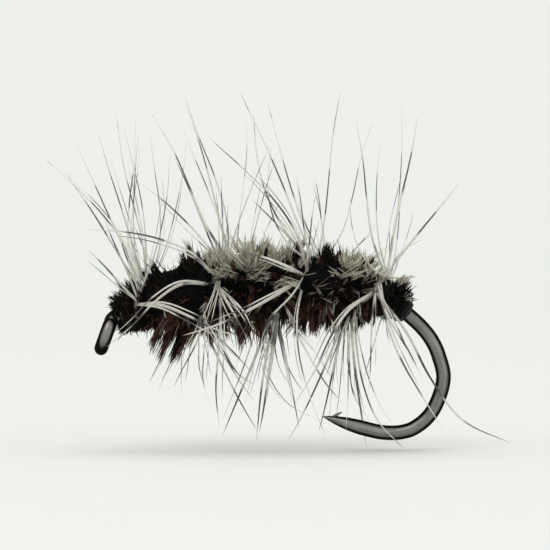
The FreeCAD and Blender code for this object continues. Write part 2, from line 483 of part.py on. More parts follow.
def make_herl_quill(strand):
    shift = HERL_PITCH * strand / HERL_STRANDS
    return coil(HERL_FROM + shift, HERL_TO + shift - HERL_PITCH, HERL_PITCH,
                lambda x: HERL_TURN_R, HERL_R, 0.0, HERL_POINTS)


def make_feather_end(places, degrees):
    """A feather end lying along the thread bed."""
    angle = math.radians(degrees)
    return tube(spline([around(x, END_LAY_R, angle) for x in places]), END_R)


def make_rear_wraps():
    """Thread over the butts."""
    return coil(REAR_WRAP_FROM, REAR_WRAP_TO, REAR_WRAP_PITCH,
                lambda x: REAR_WRAP_R, THREAD_R, REAR_WRAP_PHASE, THREAD_POINTS)


def make_whip_finish():
    """Thread wound over the head."""
    head_x, head_outer, _ = zip(*HEAD)
    return coil(WHIP_FROM, WHIP_TO, WHIP_PITCH,
                lambda x: interpolate(x, head_x, head_outer) + WHIP_GAP + THREAD_R,
                THREAD_R, WHIP_PHASE, THREAD_POINTS)


def make_stem():
    points = []
    for i in range(STEM_STEPS + 1):
        x, angle = stem_place(STEM_FROM + STEM_LENGTH * i / STEM_STEPS)
        points.append(around(x, STEM_TURN_R, angle))
    return tube(spline(points), STEM_R)


def make_fringe(first_turn, last_turn):
    """A band of soft herl that fills the space between stem turns."""
    xs, heights, depths = zip(*FRINGE)
    rings = []
    for i in range(FRINGE_STEPS + 1):
        turn = first_turn + (last_turn - first_turn) * i / FRINGE_STEPS
        stem_x, angle = stem_place(turn)
        front = stem_x + FRINGE_STEM_DISTANCE
        back = stem_place(turn + 1)[0] - FRINGE_STEM_DISTANCE
        ring = []
        for along, outward in FRINGE_SECTION:
            x = front + (back - front) * along
            above, below = interpolate(x, xs, heights), interpolate(x, xs, depths)
            reach = (above + below) / 2 + (above - below) / 2 * math.cos(angle)
            outer = max(FRINGE_SHARE * reach, FRINGE_IN_R + FRINGE_MIN_DEPTH)
            ring.append(around(x, FRINGE_IN_R + (outer - FRINGE_IN_R) * outward, angle))
        rings.append(ring)
    return skin(rings)


def make_barb(width, line):
    """A tapering hackle barb with rings that don't turn against one another."""
    points = [Vector(*place) for place in line]
    stretches = len(points) - 1
    root = BARB_ROOT_R * min(width, BARB_WIDTH_MAX) ** BARB_WIDTH_POWER
    radii = [root * (1 - BARB_TAPER * i / stretches) for i in range(len(points))]
    curve = spline(points)
    first, last = curve.FirstParameter, curve.LastParameter
    marks = [curve.parameter(point) for point in points]
    count = BARB_RINGS * stretches
    rings, side = [], None
    for i in range(count + 1):
        place = first + (last - first) * i / count
        heading = curve.tangent(place)[0]
        heading.normalize()
        if side is None:
            side = Vector(0, 0, 1) if abs(heading.z) < 0.8 else Vector(1, 0, 0)
        side = side - heading * side.dot(heading)
        side.normalize()
        across = heading.cross(side)
        centre, radius = curve.value(place), interpolate(place, marks, radii)
        angles = [2 * math.pi * k / BARB_SIDES for k in range(BARB_SIDES)]
        rings.append([centre + (side * math.cos(a) + across * math.sin(a)) * radius
                      for a in angles])
    return skin(rings)


def save(name, *solids):
    shape = solids[0] if len(solids) == 1 else Part.makeCompound(solids)
    shape.exportStep("parts/%s.step" % name)


os.makedirs("parts", exist_ok=True)
save("hook", make_hook())
save("thread_base", make_thread_base())
for strand in range(HERL_STRANDS):
    save("herl_quill_%d" % (strand + 1), make_herl_quill(strand))
save("herl_butts", *[make_feather_end(BUTT_X, angle) for angle in HERL_END_ANGLES])
save("hackle_butt", make_feather_end(BUTT_X, HACKLE_BUTT_ANGLE))
save("herl_tips", *[make_feather_end(TIP_X, angle) for angle in HERL_END_ANGLES])
save("hackle_tip", make_feather_end(TIP_X, HACKLE_TIP_ANGLE))
save("rear_thread_wraps", make_rear_wraps())
save("thread_head", sleeve(HEAD))
save("whip_finish", make_whip_finish())
save("head_cement", sleeve(CEMENT))
save("hackle_stem", make_stem())
for place, turns in FRINGE_TURNS.items():
    save("herl_fringe_" + place, make_fringe(*turns))
for fan, barbs in BARBS.items():
    save(fan, *[make_barb(width, line) for width, *line in barbs])
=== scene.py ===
"""A dry fly: a wire hook dressed with peacock herl and four turns of grizzly hackle.

The shank lies along +X with the eye near the origin and the bend at the far end; +Z is up.
The fly faces -X, so its left side is -Y (towards the camera) and its right side is +Y.
Lengths are millimetres, and become metres when a mesh is built; stage sizes are metres.
"""
import json
import math

import bpy
import numpy as np
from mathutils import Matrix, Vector


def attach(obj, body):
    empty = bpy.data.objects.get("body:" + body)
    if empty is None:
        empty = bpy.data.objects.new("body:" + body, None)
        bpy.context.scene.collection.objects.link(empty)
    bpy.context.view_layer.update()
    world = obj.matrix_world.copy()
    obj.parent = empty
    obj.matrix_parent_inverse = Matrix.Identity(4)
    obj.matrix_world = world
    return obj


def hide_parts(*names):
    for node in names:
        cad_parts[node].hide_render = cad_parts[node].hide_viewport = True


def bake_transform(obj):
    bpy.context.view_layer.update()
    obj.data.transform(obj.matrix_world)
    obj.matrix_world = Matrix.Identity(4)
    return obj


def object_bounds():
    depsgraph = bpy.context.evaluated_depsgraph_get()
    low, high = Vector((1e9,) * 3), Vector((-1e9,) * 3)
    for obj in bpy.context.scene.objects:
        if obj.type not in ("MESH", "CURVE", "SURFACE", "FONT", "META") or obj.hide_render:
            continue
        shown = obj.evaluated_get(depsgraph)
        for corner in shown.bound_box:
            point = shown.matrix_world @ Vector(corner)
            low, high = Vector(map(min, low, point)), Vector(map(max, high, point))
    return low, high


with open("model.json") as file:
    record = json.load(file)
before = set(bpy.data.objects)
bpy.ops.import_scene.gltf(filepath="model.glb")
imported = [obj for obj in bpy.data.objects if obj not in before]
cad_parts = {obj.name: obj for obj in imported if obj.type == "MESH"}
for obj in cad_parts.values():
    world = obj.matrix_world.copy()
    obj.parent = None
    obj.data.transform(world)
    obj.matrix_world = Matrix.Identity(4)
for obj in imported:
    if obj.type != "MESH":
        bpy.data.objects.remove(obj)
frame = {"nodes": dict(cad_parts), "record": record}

CAD_LO, CAD_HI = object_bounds()
MM = 0.001
ROOT = "fly"
Y = np.array([0.0, 1.0, 0.0])
DENSITY = 1.0    # share of the flue fibres that is made

# ------------------------------------------------------------- driving sizes
# Centreline of the hook wire: x, z.
SHANK = [
    (0.156, 0.432), (0.50, 0.50), (0.87, 0.65), (1.55, 0.92), (2.23, 1.12),
    (3.25, 1.29), (4.27, 1.36), (5.29, 1.36), (6.31, 1.29), (6.99, 1.19),
    (7.53, 1.02), (7.87, 0.85), (8.20, 0.61), (8.46, 0.39),
]
BEND = [
    (8.68, 0.18), (8.87, -0.04), (9.02, -0.27), (9.13, -0.50), (9.21, -0.74),
    (9.28, -0.98), (9.31, -1.22), (9.28, -1.47), (9.21, -1.71), (9.12, -1.94),
    (9.00, -2.17), (8.84, -2.37), (8.64, -2.54), (8.40, -2.68), (8.13, -2.75),
    (7.87, -2.77), (7.55, -2.745), (7.25, -2.68), (6.95, -2.60),
]
SPEAR = [(6.62, -2.505), (6.30, -2.41), (5.96, -2.31)]
HOOK_BARB = [(6.22, 0, -2.345), (6.33, 0, -2.285), (6.44, 0, -2.225), (6.52, 0, -2.185)]
WIRE_RADIUS = 0.205
EYE_RADIUS = 0.46
EYE_DOWN = (-0.34, 0.0, -0.94)          # the plane of the eye holds this direction and Y
EYE_NECK = [(0.27, 0.155, 0.485), (0.36, 0.05, 0.50), (0.50, 0.0, 0.535)]

# Where the hackle stem stands on the shank: turns made, x.
STEM_TURNS = [-0.4, 0.0, 1.0, 2.0, 3.0, 3.7]
STEM_X = [0.55, 0.80, 2.88, 5.29, 7.32, 7.90]

# Thread beds: x, radius. Layers: start x, end x, pitch, lift, thread radius, phase, wobble.
HEAD_X = [0.31, 0.36, 0.46, 0.58, 0.70, 0.76]
HEAD_RADIUS = [0.250, 0.31, 0.375, 0.425, 0.42, 0.36]
REAR_X = [7.60, 7.72, 7.85, 8.10, 8.22, 8.32]
REAR_RADIUS = [0.41, 0.39, 0.365, 0.315, 0.275, 0.242]
HEAD_LAYERS = [
    (0.32, 0.76, 0.056, -0.020, 0.034, 0.3, 0.006),
    (0.74, 0.35, 0.060, 0.018, 0.033, 1.9, 0.006),
    (0.37, 0.72, 0.11, 0.040, 0.031, 4.0, 0.006),
]
WHIP_LAYERS = [(0.42, 0.66, 0.058, 0.068, 0.031, 0.9, 0.004)]
REAR_LAYERS = [
    (7.60, 8.32, 0.056, 0.0, 0.033, 0.0, 0.005),
    (8.28, 7.62, 0.060, 0.030, 0.033, 2.2, 0.010),
    (7.66, 8.26, 0.15, 0.050, 0.031, 1.1, 0.014),
]

# Section of the varnish film, a closed outline turned round the wire.
VARNISH_X = [0.300, 0.290, 0.305, 0.33, 0.365, 0.40, 0.43, 0.43, 0.40, 0.365, 0.33]
VARNISH_RADIUS = [0.215, 0.228, 0.262, 0.305, 0.352, 0.405, 0.430, 0.400, 0.345, 0.285, 0.235]

# Reach of the herl fringe from the wire: x, above, below.
FRINGE = np.array([
    (0.60, 0.60, 0.52), (1.07, 0.80, 0.72), (1.40, 0.95, 1.18), (1.75, 1.05, 1.38),
    (2.57, 1.08, 1.46), (3.10, 1.30, 1.52), (3.59, 1.38, 1.60), (4.20, 1.40, 1.58),
    (4.45, 1.38, 1.32), (5.10, 1.20, 1.40), (5.97, 1.15, 1.38), (6.65, 1.24, 1.22),
    (7.20, 1.02, 1.05), (7.60, 0.76, 0.90), (8.00, 0.54, 0.68),
])
PARTS = ["front", "middle", "rear"]
PART_ENDS = (2.5, 5.3)                  # x where the front and middle parts stop
FLUE_START = 0.66
FLUE_ROW = 0.24                         # spacing of the rows of flue along the shank

# Share of straw-tipped locks along the back, a painted highlight of light caught by the flue tips
# on top: two patches.
TOP_HIGHLIGHT_X = [2.65, 2.95, 4.9, 5.3, 6.1, 6.35, 7.45, 7.7]
TOP_HIGHLIGHT_SHARE = [0.0, 0.97, 0.95, 0.06, 0.05, 0.92, 0.88, 0.45]

# Matted core as a share of the fringe: lower beside the two patches.
CORE_X = [2.8, 3.2, 4.9, 5.3, 6.2, 6.5, 7.3, 7.6]
CORE_BELOW = 0.60
CORE_SIDE = [0.66, 0.56, 0.56, 0.66, 0.66, 0.56, 0.56, 0.60]
CORE_FLANK = [0.66, 0.42, 0.42, 0.66, 0.66, 0.44, 0.46, 0.60]
CORE_TOP = [0.66, 0.44, 0.44, 0.66, 0.66, 0.46, 0.48, 0.60]

# Strong single tufts: x, angle, length, lean along the shank, kind.
TUFTS = [
    (2.46, 0.05, 1.38, 0.02, "black"), (2.40, -0.25, 1.22, 0.05, "brown"),
    (1.75, -0.05, 1.16, -0.20, "black"), (1.45, 0.2, 1.06, -0.35, "black"),
    (1.60, -0.4, 1.10, -0.30, "black"), (1.05, 0.10, 0.94, -0.30, "black"),
    (0.80, -0.25, 0.88, -0.25, "black"), (6.05, 0.0, 1.30, 0.03, "black"),
    (5.95, -0.2, 1.24, 0.02, "black"), (6.10, -0.45, 1.18, -0.05, "black"),
    (6.85, 0.1, 1.12, -0.10, "black"), (7.15, -0.1, 1.02, -0.1, "brown"),
    (7.75, 0.0, 0.90, 0.35, "pale"), (7.85, -0.6, 0.76, 0.45, "black"),
    (1.30, -2.75, 1.36, -0.42, "brown"), (1.50, -2.95, 1.66, -0.34, "brown"),
    (1.75, -2.70, 1.62, -0.34, "brown"), (1.95, 3.10, 1.90, -0.26, "black"),
    (2.10, -2.85, 2.02, -0.22, "brown"), (2.45, -2.70, 1.70, -0.22, "brown"),
    (2.85, -2.95, 1.76, -0.12, "brown"), (3.15, -2.70, 1.74, 0.02, "brown"),
    (3.50, -2.95, 1.84, 0.05, "brown"), (3.75, 3.0, 1.84, 0.04, "brown"),
    (4.10, -2.85, 1.86, 0.06, "brown"), (4.30, -2.6, 1.74, 0.10, "brown"),
    (4.90, -2.80, 1.50, -0.08, "black"), (5.25, -2.75, 1.54, 0.0, "brown"),
    (5.45, -3.0, 1.52, 0.05, "black"), (5.75, -2.90, 1.50, 0.0, "brown"),
    (6.10, -2.70, 1.44, -0.04, "brown"), (6.40, -2.95, 1.36, 0.10, "brown"),
    (6.80, -2.75, 1.30, 0.05, "black"), (7.20, -2.9, 1.12, 0.12, "black"),
    (3.30, -2.2, 1.45, 0.1, "brown"), (5.50, -2.3, 1.36, -0.1, "brown"),
    (6.15, -2.1, 1.26, 0.1, "brown"), (2.0, -2.1, 1.45, -0.35, "brown"),
]

# Hackle barbs, one a row: width factor, darkness, then x y z of four or five points from
# the stem outwards.
BARBS = {
    "hackle_1_left": """
1.30 0.10  0.88 -0.62 0.81  1.57 -1.56 0.82  2.26 -2.44 0.58  2.94 -3.27 0.28  3.65 -4.07 0.10
1.11 0.36  0.83 -0.60 0.92  0.46 -1.67 1.38  0.05 -2.80 1.89  -0.38 -3.96 2.42
1.16 0.15  0.85 -0.56 1.01  0.61 -1.55 1.71  0.33 -2.60 2.47  0.03 -3.67 3.26
1.03 0.21  0.90 -0.48 1.14  0.73 -1.53 1.73  0.56 -2.66 2.37  0.39 -3.81 3.04
0.92 0.46  0.91 -0.37 1.25  0.31 -1.11 2.28  -0.34 -1.90 3.37  -1.02 -2.69 4.50
0.91 0.40  0.95 -0.30 1.31  0.42 -1.01 2.56  -0.16 -1.75 3.87  -0.77 -2.51 5.22
""",
    "hackle_1_top": """
1.20 0.50  0.98 -0.35 1.27  1.32 -0.93 2.12  1.57 -1.46 3.07  1.72 -1.97 4.05  1.77 -2.47 5.03
1.00 0.50  0.97 -0.27 1.33  0.79 -0.61 2.34  0.76 -0.92 3.44  0.82 -1.22 4.54  0.94 -1.51 5.64
1.00 0.50  0.96 -0.19 1.34  0.55 0.21 2.31  -0.11 0.57 3.23  -0.90 0.92 4.05  -1.75 1.26 4.80
1.00 0.50  1.02 -0.15 1.39  0.75 -0.56 2.39  0.43 -0.94 3.45  0.10 -1.30 4.51  -0.18 -1.65 5.59
1.00 0.50  1.08 -0.09 1.42  1.09 -0.53 2.47  0.99 -0.94 3.59  0.77 -1.34 4.69  0.48 -1.71 5.78
1.00 0.50  1.06 0.01 1.43  0.60 0.36 2.40  0.61 0.69 3.57  0.77 1.01 4.74  0.78 1.31 5.92
1.00 0.50  1.13 0.08 1.44  0.96 0.57 2.52  0.69 1.03 3.65  0.41 1.47 4.77  0.20 1.89 5.92
1.20 0.50  1.20 0.15 1.45  1.45 0.68 2.40  1.44 1.17 3.47  1.29 1.64 4.52  1.14 2.09 5.58
1.00 0.50  1.25 0.23 1.44  1.61 0.93 2.31  1.86 1.58 3.28  2.04 2.19 4.27  2.16 2.79 5.27
""",
    "hackle_1_right": """
1.24 0.30  1.59 0.58 1.24  1.25 1.68 1.76  0.93 2.86 2.32  0.66 4.07 2.92
0.93 0.16  1.65 0.62 1.17  1.30 2.03 1.39  0.93 3.54 1.60  0.57 5.10 1.80
0.95 0.26  1.72 0.63 1.14  1.87 1.82 1.52  2.01 3.09 1.90  2.12 4.41 2.27
1.07 0.68  1.87 0.65 0.99  1.91 1.86 1.11  1.98 3.15 1.24  2.09 4.47 1.37
1.13 0.38  1.90 0.64 0.91  1.65 1.86 0.45  1.34 3.16 -0.03  0.98 4.49 -0.54
1.00 0.50  2.00 0.61 0.80  1.84 1.50 0.24  1.66 2.33 -0.36  1.44 3.13 -0.95  1.14 3.89 -1.50
1.15 0.76  2.09 0.59 0.79  2.63 1.96 0.38  3.24 3.41 -0.04  3.90 4.90 -0.47
0.96 0.18  2.15 0.52 0.68  2.07 1.68 -0.20  2.02 2.92 -1.10  2.01 4.21 -2.02
1.29 0.13  2.24 0.48 0.66  2.83 1.52 0.05  3.44 2.62 -0.62  4.05 3.75 -1.32
""",
    "hackle_1_bottom": """
1.20 0.50  2.28 0.44 0.63  2.79 1.25 0.17  3.15 2.02 -0.49  3.51 2.74 -1.15  4.08 3.45 -1.63
1.20 0.50  2.32 0.35 0.59  2.49 1.22 0.08  2.52 2.03 -0.49  2.52 2.80 -1.07  2.64 3.55 -1.63
1.00 0.50  2.39 0.21 0.54  2.34 1.05 0.03  2.28 1.84 -0.53  2.20 2.60 -1.08  2.09 3.32 -1.63
1.00 0.50  2.45 0.04 0.54  2.19 0.92 -0.01  1.90 1.74 -0.59  1.61 2.52 -1.17  1.35 3.27 -1.77
1.02 0.67  2.53 -0.10 0.52  2.98 -0.30 -0.49  3.53 -0.53 -1.56  4.17 -0.77 -2.65
1.00 0.50  2.56 -0.20 0.57  2.92 -1.09 0.10  3.26 -1.92 -0.43  3.62 -2.71 -0.96  4.06 -3.47 -1.42
1.90 0.95  2.61 -0.35 0.64  2.59 -1.11 0.14  2.42 -1.82 -0.37  2.17 -2.50 -0.85  1.90 -3.15 -1.33
1.20 0.50  2.67 -0.44 0.71  2.74 -1.28 0.15  2.70 -2.06 -0.47  2.68 -2.81 -1.08  2.83 -3.53 -1.67
""",
    "hackle_2_left": """
1.30 0.10  2.97 -0.63 1.30  3.27 -1.10 1.13  3.58 -1.57 0.89  3.84 -2.01 0.60  4.03 -2.44 0.24
1.35 0.10  2.89 -0.62 1.37  2.10 -1.56 1.41  1.38 -2.42 0.96  0.78 -3.25 0.34  0.11 -4.04 -0.20
1.20 0.25  2.91 -0.51 1.35  2.37 -0.14 0.80  1.91 0.21 0.10  1.53 0.54 -0.66  1.17 0.86 -1.42
1.50 0.10  3.00 -0.61 1.41  3.21 -1.43 1.12  3.43 -2.21 0.79  3.64 -2.95 0.46  3.84 -3.66 0.12
1.00 0.50  2.99 -0.54 1.60  2.37 -1.25 2.25  1.49 -1.91 2.65  0.54 -2.53 2.85  -0.42 -3.14 2.94
1.40 0.20  3.06 -0.51 1.51  3.15 -0.94 0.57  3.10 -1.34 -0.45  3.05 -1.73 -1.47  3.12 -2.10 -2.49
1.10 0.20  3.09 -0.50 1.61  2.98 -1.32 1.20  2.80 -2.08 0.78  2.60 -2.81 0.36  2.43 -3.52 -0.07
1.00 0.20  3.17 -0.43 1.70  3.11 -1.32 1.26  3.00 -2.16 0.80  2.88 -2.95 0.33  2.80 -3.72 -0.14
1.16 0.36  3.20 -0.39 1.81  3.21 -1.34 2.62  3.22 -2.36 3.49  3.21 -3.41 4.37
1.00 0.50  3.21 -0.20 1.84  2.72 0.65 2.45  2.15 1.43 3.06  1.53 2.18 3.62  0.84 2.89 4.09
""",
    "hackle_2_top": """
1.17 0.40  3.19 -0.36 1.83  2.79 -1.20 2.80  2.37 -2.09 3.83  1.93 -3.01 4.89
1.12 0.14  3.28 -0.29 1.88  3.60 -0.83 2.92  4.01 -1.40 4.04  4.50 -1.99 5.21
1.20 0.50  3.36 -0.15 1.94  3.33 -0.60 3.09  3.01 -1.02 4.29  2.56 -1.42 5.46  2.16 -1.80 6.63
0.92 0.24  3.41 -0.02 1.96  3.06 0.03 3.39  2.65 0.09 4.90  2.18 0.13 6.46
1.40 0.60  3.43 0.09 1.94  2.80 0.67 2.84  2.31 1.22 3.91  1.83 1.74 4.99  1.22 2.24 6.00
1.00 0.50  3.50 0.16 1.93  3.18 0.85 2.86  2.81 1.48 3.83  2.41 2.09 4.80  2.01 2.67 5.77
0.95 0.50  3.57 0.23 1.92  3.64 0.98 2.89  3.75 1.68 3.92  3.85 2.34 4.95  3.90 2.97 5.98
""",
    "hackle_2_right": """
1.07 0.63  3.82 0.51 1.74  4.07 1.49 2.74  4.36 2.53 3.81  4.70 3.60 4.92
1.00 0.50  3.91 0.58 1.63  4.15 1.71 2.22  4.45 2.91 2.86  4.80 4.13 3.55
1.11 0.71  3.98 0.63 1.51  4.00 1.99 1.87  4.01 3.43 2.25  4.02 4.91 2.65
1.08 0.31  4.04 0.65 1.39  3.67 1.85 1.53  3.27 3.13 1.70  2.85 4.44 1.89
1.22 0.59  4.11 0.65 1.32  4.14 1.96 1.28  4.11 3.35 1.23  4.02 4.79 1.18
1.19 0.30  4.20 0.63 1.20  4.44 2.11 1.00  4.65 3.68 0.79  4.82 5.29 0.58
0.96 0.44  4.26 0.61 1.12  4.76 1.89 0.54  5.27 3.24 -0.08  5.78 4.63 -0.71
0.92 0.57  4.29 0.55 1.01  4.02 1.76 0.20  3.71 3.03 -0.67  3.37 4.33 -1.58
1.29 0.18  4.36 0.46 0.90  4.04 1.38 -0.22  3.64 2.35 -1.42  3.15 3.34 -2.66
""",
    "hackle_2_bottom": """
1.25 0.90  4.50 0.35 0.82  4.58 1.26 0.26  4.46 2.10 -0.34  4.26 2.90 -0.93  4.15 3.68 -1.54
1.00 0.50  4.57 0.25 0.77  4.70 1.13 0.10  4.87 1.95 -0.61  5.12 2.72 -1.29  5.52 3.47 -1.90
1.21 0.50  4.57 0.15 0.73  4.20 0.45 -0.43  3.72 0.75 -1.66  3.15 1.06 -2.93
1.18 0.52  4.65 0.09 0.71  4.87 0.17 -0.34  5.10 0.28 -1.47  5.32 0.41 -2.63
1.25 0.32  4.72 -0.08 0.71  4.46 -0.08 -0.44  4.26 -0.11 -1.67  4.12 -0.15 -2.93
1.13 0.42  4.80 -0.20 0.74  4.59 -0.44 -0.34  4.40 -0.70 -1.50  4.23 -1.00 -2.69
1.00 0.50  4.82 -0.29 0.78  4.38 -1.04 0.00  4.44 -1.74 -0.96  4.96 -2.40 -1.77  5.80 -3.05 -2.24
1.20 0.50  4.91 -0.35 0.81  5.22 -1.16 0.15  5.58 -1.92 -0.55  6.00 -2.65 -1.22  6.54 -3.35 -1.80
""",
    "hackle_3_left": """
1.30 0.15  5.28 -0.52 1.41  4.59 -0.05 1.07  3.86 0.39 0.65  3.19 0.81 0.15  2.60 1.22 -0.46
1.45 0.15  5.32 -0.62 1.45  4.59 -1.57 1.06  3.80 -2.45 0.66  2.99 -3.29 0.33  2.14 -4.10 0.10
1.30 0.30  5.37 -0.48 1.49  4.88 0.21 0.81  4.65 0.86 -0.07  4.76 1.48 -0.98  5.22 2.07 -1.76
1.10 0.20  5.41 -0.60 1.54  5.19 -1.29 1.21  4.89 -1.95 0.89  4.58 -2.58 0.58  4.34 -3.19 0.21
1.20 0.15  5.41 -0.58 1.63  5.00 -1.20 1.87  4.52 -1.79 2.09  4.01 -2.36 2.24  3.49 -2.91 2.28
1.24 0.76  5.51 -0.55 1.71  5.57 -1.79 2.41  5.65 -3.11 3.14  5.73 -4.49 3.89
1.30 0.30  5.51 -0.49 1.62  5.27 -1.08 0.60  5.31 -1.62 -0.52  5.58 -2.13 -1.61  6.00 -2.63 -2.65
1.00 0.50  5.53 -0.47 1.79  5.20 -1.16 2.82  4.56 -1.79 3.79  3.76 -2.40 4.63  2.90 -2.98 5.41
1.15 0.25  5.54 -0.36 1.68  5.29 -0.04 1.18  5.08 0.28 0.58  4.98 0.58 -0.05  5.02 0.87 -0.68
1.00 0.50  5.64 -0.20 1.89  5.29 0.34 2.31  4.90 0.85 2.77  4.48 1.34 3.22  4.03 1.82 3.63
""",
    "hackle_3_top": """
1.30 0.90  5.65 -0.34 1.89  5.52 -1.04 2.46  5.42 -1.69 3.10  5.34 -2.31 3.75  5.22 -2.92 4.39
1.00 0.50  5.68 -0.24 1.91  5.03 -0.90 2.49  4.58 -1.51 3.31  4.44 -2.10 4.23  4.53 -2.66 5.17
1.20 0.50  5.74 -0.15 1.96  5.26 -0.66 3.08  4.79 -1.12 4.28  4.29 -1.56 5.47  3.71 -1.99 6.63
1.35 0.80  5.82 -0.01 1.96  6.01 0.68 3.06  6.15 1.32 4.24  6.28 1.93 5.42  6.46 2.51 6.60
1.00 0.50  5.81 0.08 1.94  5.02 0.57 2.69  4.46 1.02 3.71  4.16 1.45 4.83  4.03 1.87 5.98
1.00 0.50  5.87 0.15 1.95  5.45 0.69 2.96  5.07 1.19 4.07  4.74 1.67 5.19  4.45 2.13 6.32
1.00 0.50  5.96 0.20 1.92  6.50 0.97 2.74  6.82 1.69 3.74  7.05 2.37 4.77  7.37 3.02 5.77
""",
    "hackle_3_right": """
1.16 0.80  6.08 0.48 1.76  6.00 1.44 2.58  5.89 2.46 3.47  5.74 3.51 4.39
1.23 0.30  6.12 0.55 1.65  5.82 1.67 2.26  5.53 2.86 2.91  5.27 4.08 3.59
1.05 0.57  6.20 0.59 1.58  6.63 1.81 1.98  7.08 3.11 2.42  7.53 4.44 2.86
0.95 0.27  6.23 0.63 1.46  6.11 1.87 1.77  5.98 3.20 2.10  5.84 4.56 2.42
0.93 0.41  6.29 0.65 1.32  6.32 1.98 1.38  6.34 3.39 1.42  6.36 4.85 1.44
0.92 0.64  6.33 0.64 1.18  6.07 1.86 0.86  5.86 3.16 0.53  5.70 4.49 0.18
0.97 0.18  6.38 0.61 1.04  6.24 1.91 0.50  6.02 3.27 -0.09  5.74 4.67 -0.71
0.91 0.42  6.44 0.56 0.92  6.38 1.73 0.29  6.30 2.98 -0.38  6.19 4.27 -1.04
1.06 0.71  6.49 0.47 0.80  6.40 1.48 -0.34  6.28 2.54 -1.54  6.13 3.63 -2.77
""",
    "hackle_3_bottom": """
1.00 0.50  6.54 0.40 0.75  6.41 1.39 0.25  6.31 2.31 -0.29  6.23 3.18 -0.83  6.18 4.03 -1.37
1.20 0.50  6.61 0.30 0.66  6.71 1.17 -0.15  6.74 1.98 -1.03  6.88 2.74 -1.90  7.33 3.48 -2.65
1.12 0.72  6.61 0.20 0.62  6.40 0.40 -0.44  6.15 0.61 -1.57  5.85 0.82 -2.74
1.01 0.39  6.65 0.10 0.59  6.19 0.37 -0.60  5.62 0.67 -1.86  4.97 1.00 -3.14
1.23 0.70  6.75 -0.03 0.57  6.83 -0.03 -0.63  6.98 -0.04 -1.92  7.19 -0.05 -3.25
1.00 0.30  6.76 -0.16 0.62  6.61 -1.17 0.17  6.52 -2.12 -0.32  6.50 -3.01 -0.82  6.54 -3.88 -1.33
1.25 0.50  6.85 -0.29 0.62  6.89 -1.07 -0.33  7.06 -1.79 -1.33  7.45 -2.48 -2.26  8.15 -3.15 -2.99
1.00 0.50  6.89 -0.39 0.68  6.70 -1.28 -0.07  6.65 -2.11 -0.90  6.64 -2.90 -1.73  6.57 -3.66 -2.56
""",
    "hackle_4_left": """
1.40 0.25  7.32 -0.63 1.13  6.68 -1.46 0.69  6.18 -2.24 0.02  5.79 -2.98 -0.73  5.38 -3.70 -1.46
1.00 0.50  7.44 -0.57 1.13  8.26 -0.83 0.07  8.92 -1.06 -1.20  9.78 -1.29 -2.33  11.07 -1.51 -2.92
1.20 0.30  7.36 -0.50 1.18  6.90 -0.03 0.73  6.56 0.42 0.11  6.32 0.85 -0.56  6.08 1.26 -1.22
1.35 0.30  7.42 -0.61 1.21  7.32 -1.61 0.59  7.27 -2.53 -0.08  7.24 -3.41 -0.76  7.17 -4.26 -1.43
1.20 0.20  7.41 -0.45 1.25  7.08 0.32 0.80  6.84 1.05 0.25  6.72 1.74 -0.35  6.68 2.41 -0.95
1.60 0.25  7.49 -0.56 1.29  7.67 -1.47 0.71  7.97 -2.31 0.13  8.30 -3.12 -0.44  8.62 -3.89 -1.02
1.25 0.50  7.56 -0.45 1.37  7.71 -1.15 0.38  8.09 -1.79 -0.62  8.60 -2.41 -1.55  9.17 -3.00 -2.46
1.28 0.21  7.64 -0.38 1.54  8.28 -1.38 2.41  8.95 -2.45 3.32  9.65 -3.56 4.25
""",
    "hackle_4_top": """
0.97 0.26  7.62 -0.35 1.57  7.74 -1.03 2.56  7.91 -1.76 3.60  8.13 -2.52 4.66
1.00 0.50  7.63 -0.24 1.58  7.24 -0.74 1.91  6.95 -1.22 2.40  6.77 -1.67 2.95  6.68 -2.12 3.52
1.10 0.50  7.71 -0.15 1.63  7.92 -0.58 2.71  8.07 -0.97 3.89  8.13 -1.35 5.07  8.09 -1.71 6.26
1.20 0.50  7.70 -0.02 1.62  7.34 0.50 2.61  7.19 0.98 3.72  7.10 1.44 4.84  6.91 1.88 5.95
1.25 0.50  7.77 0.08 1.62  7.93 0.56 2.67  8.17 1.00 3.78  8.43 1.42 4.90  8.64 1.82 6.02
1.00 0.50  7.82 0.14 1.53  7.97 0.31 1.52  8.18 0.52 1.51  8.39 0.71 1.51  8.60 0.89 1.50
0.95 0.50  7.76 0.16 1.59  7.55 0.85 2.45  7.47 1.48 3.40  7.50 2.09 4.36  7.64 2.67 5.30
1.00 0.50  7.80 0.25 1.54  7.91 0.78 1.85  8.13 1.31 2.16  8.44 1.81 2.38  8.79 2.29 2.52
""",
    "hackle_4_right": """
1.28 0.58  7.80 0.55 1.27  7.99 1.76 2.06  8.13 3.04 2.91  8.20 4.37 3.81
0.90 0.39  7.78 0.61 1.16  7.83 1.91 1.79  7.89 3.28 2.46  7.94 4.70 3.14
1.05 0.50  7.77 0.65 1.01  8.12 2.02 1.12  8.42 3.48 1.26  8.66 4.98 1.41
1.14 0.28  7.73 0.65 0.87  7.76 2.00 0.57  7.75 3.42 0.25  7.70 4.89 -0.08
0.99 0.44  7.70 0.63 0.75  7.74 1.98 0.33  7.82 3.41 -0.12  7.95 4.89 -0.61
1.11 0.53  7.66 0.58 0.62  7.50 1.81 -0.09  7.32 3.11 -0.85  7.12 4.45 -1.63
""",
}
# By side: thickness, chance of a finer barb beside each, added darkness, how far they part.
FAN_SIDES = {
    "left": (0.98, 0.75, 0.14, 0.30),
    "top": (0.76, 0.0, 0.0, 0.2),
    "right": (0.86, 0.6, 0.0, 0.9),
    "bottom": (0.92, 1.0, 0.08, 0.8),
}
FIRST_TOP_EXTRA = 0.9                   # the first turn alone has finer barbs on top
# Added darkness by fan: the first turn's top is made paler, a painted highlight where its barbs
# catch the brightest light; the third turn's bottom and the fourth turn's left are made darker.
FAN_SHADE = {"3_bottom": 0.14, "4_left": 0.10, "1_top": -0.12}
BAR_PHASE = {"1": 0.10, "2": -0.35, "3": 0.25, "4": -0.15}     # shift of the bars by turn


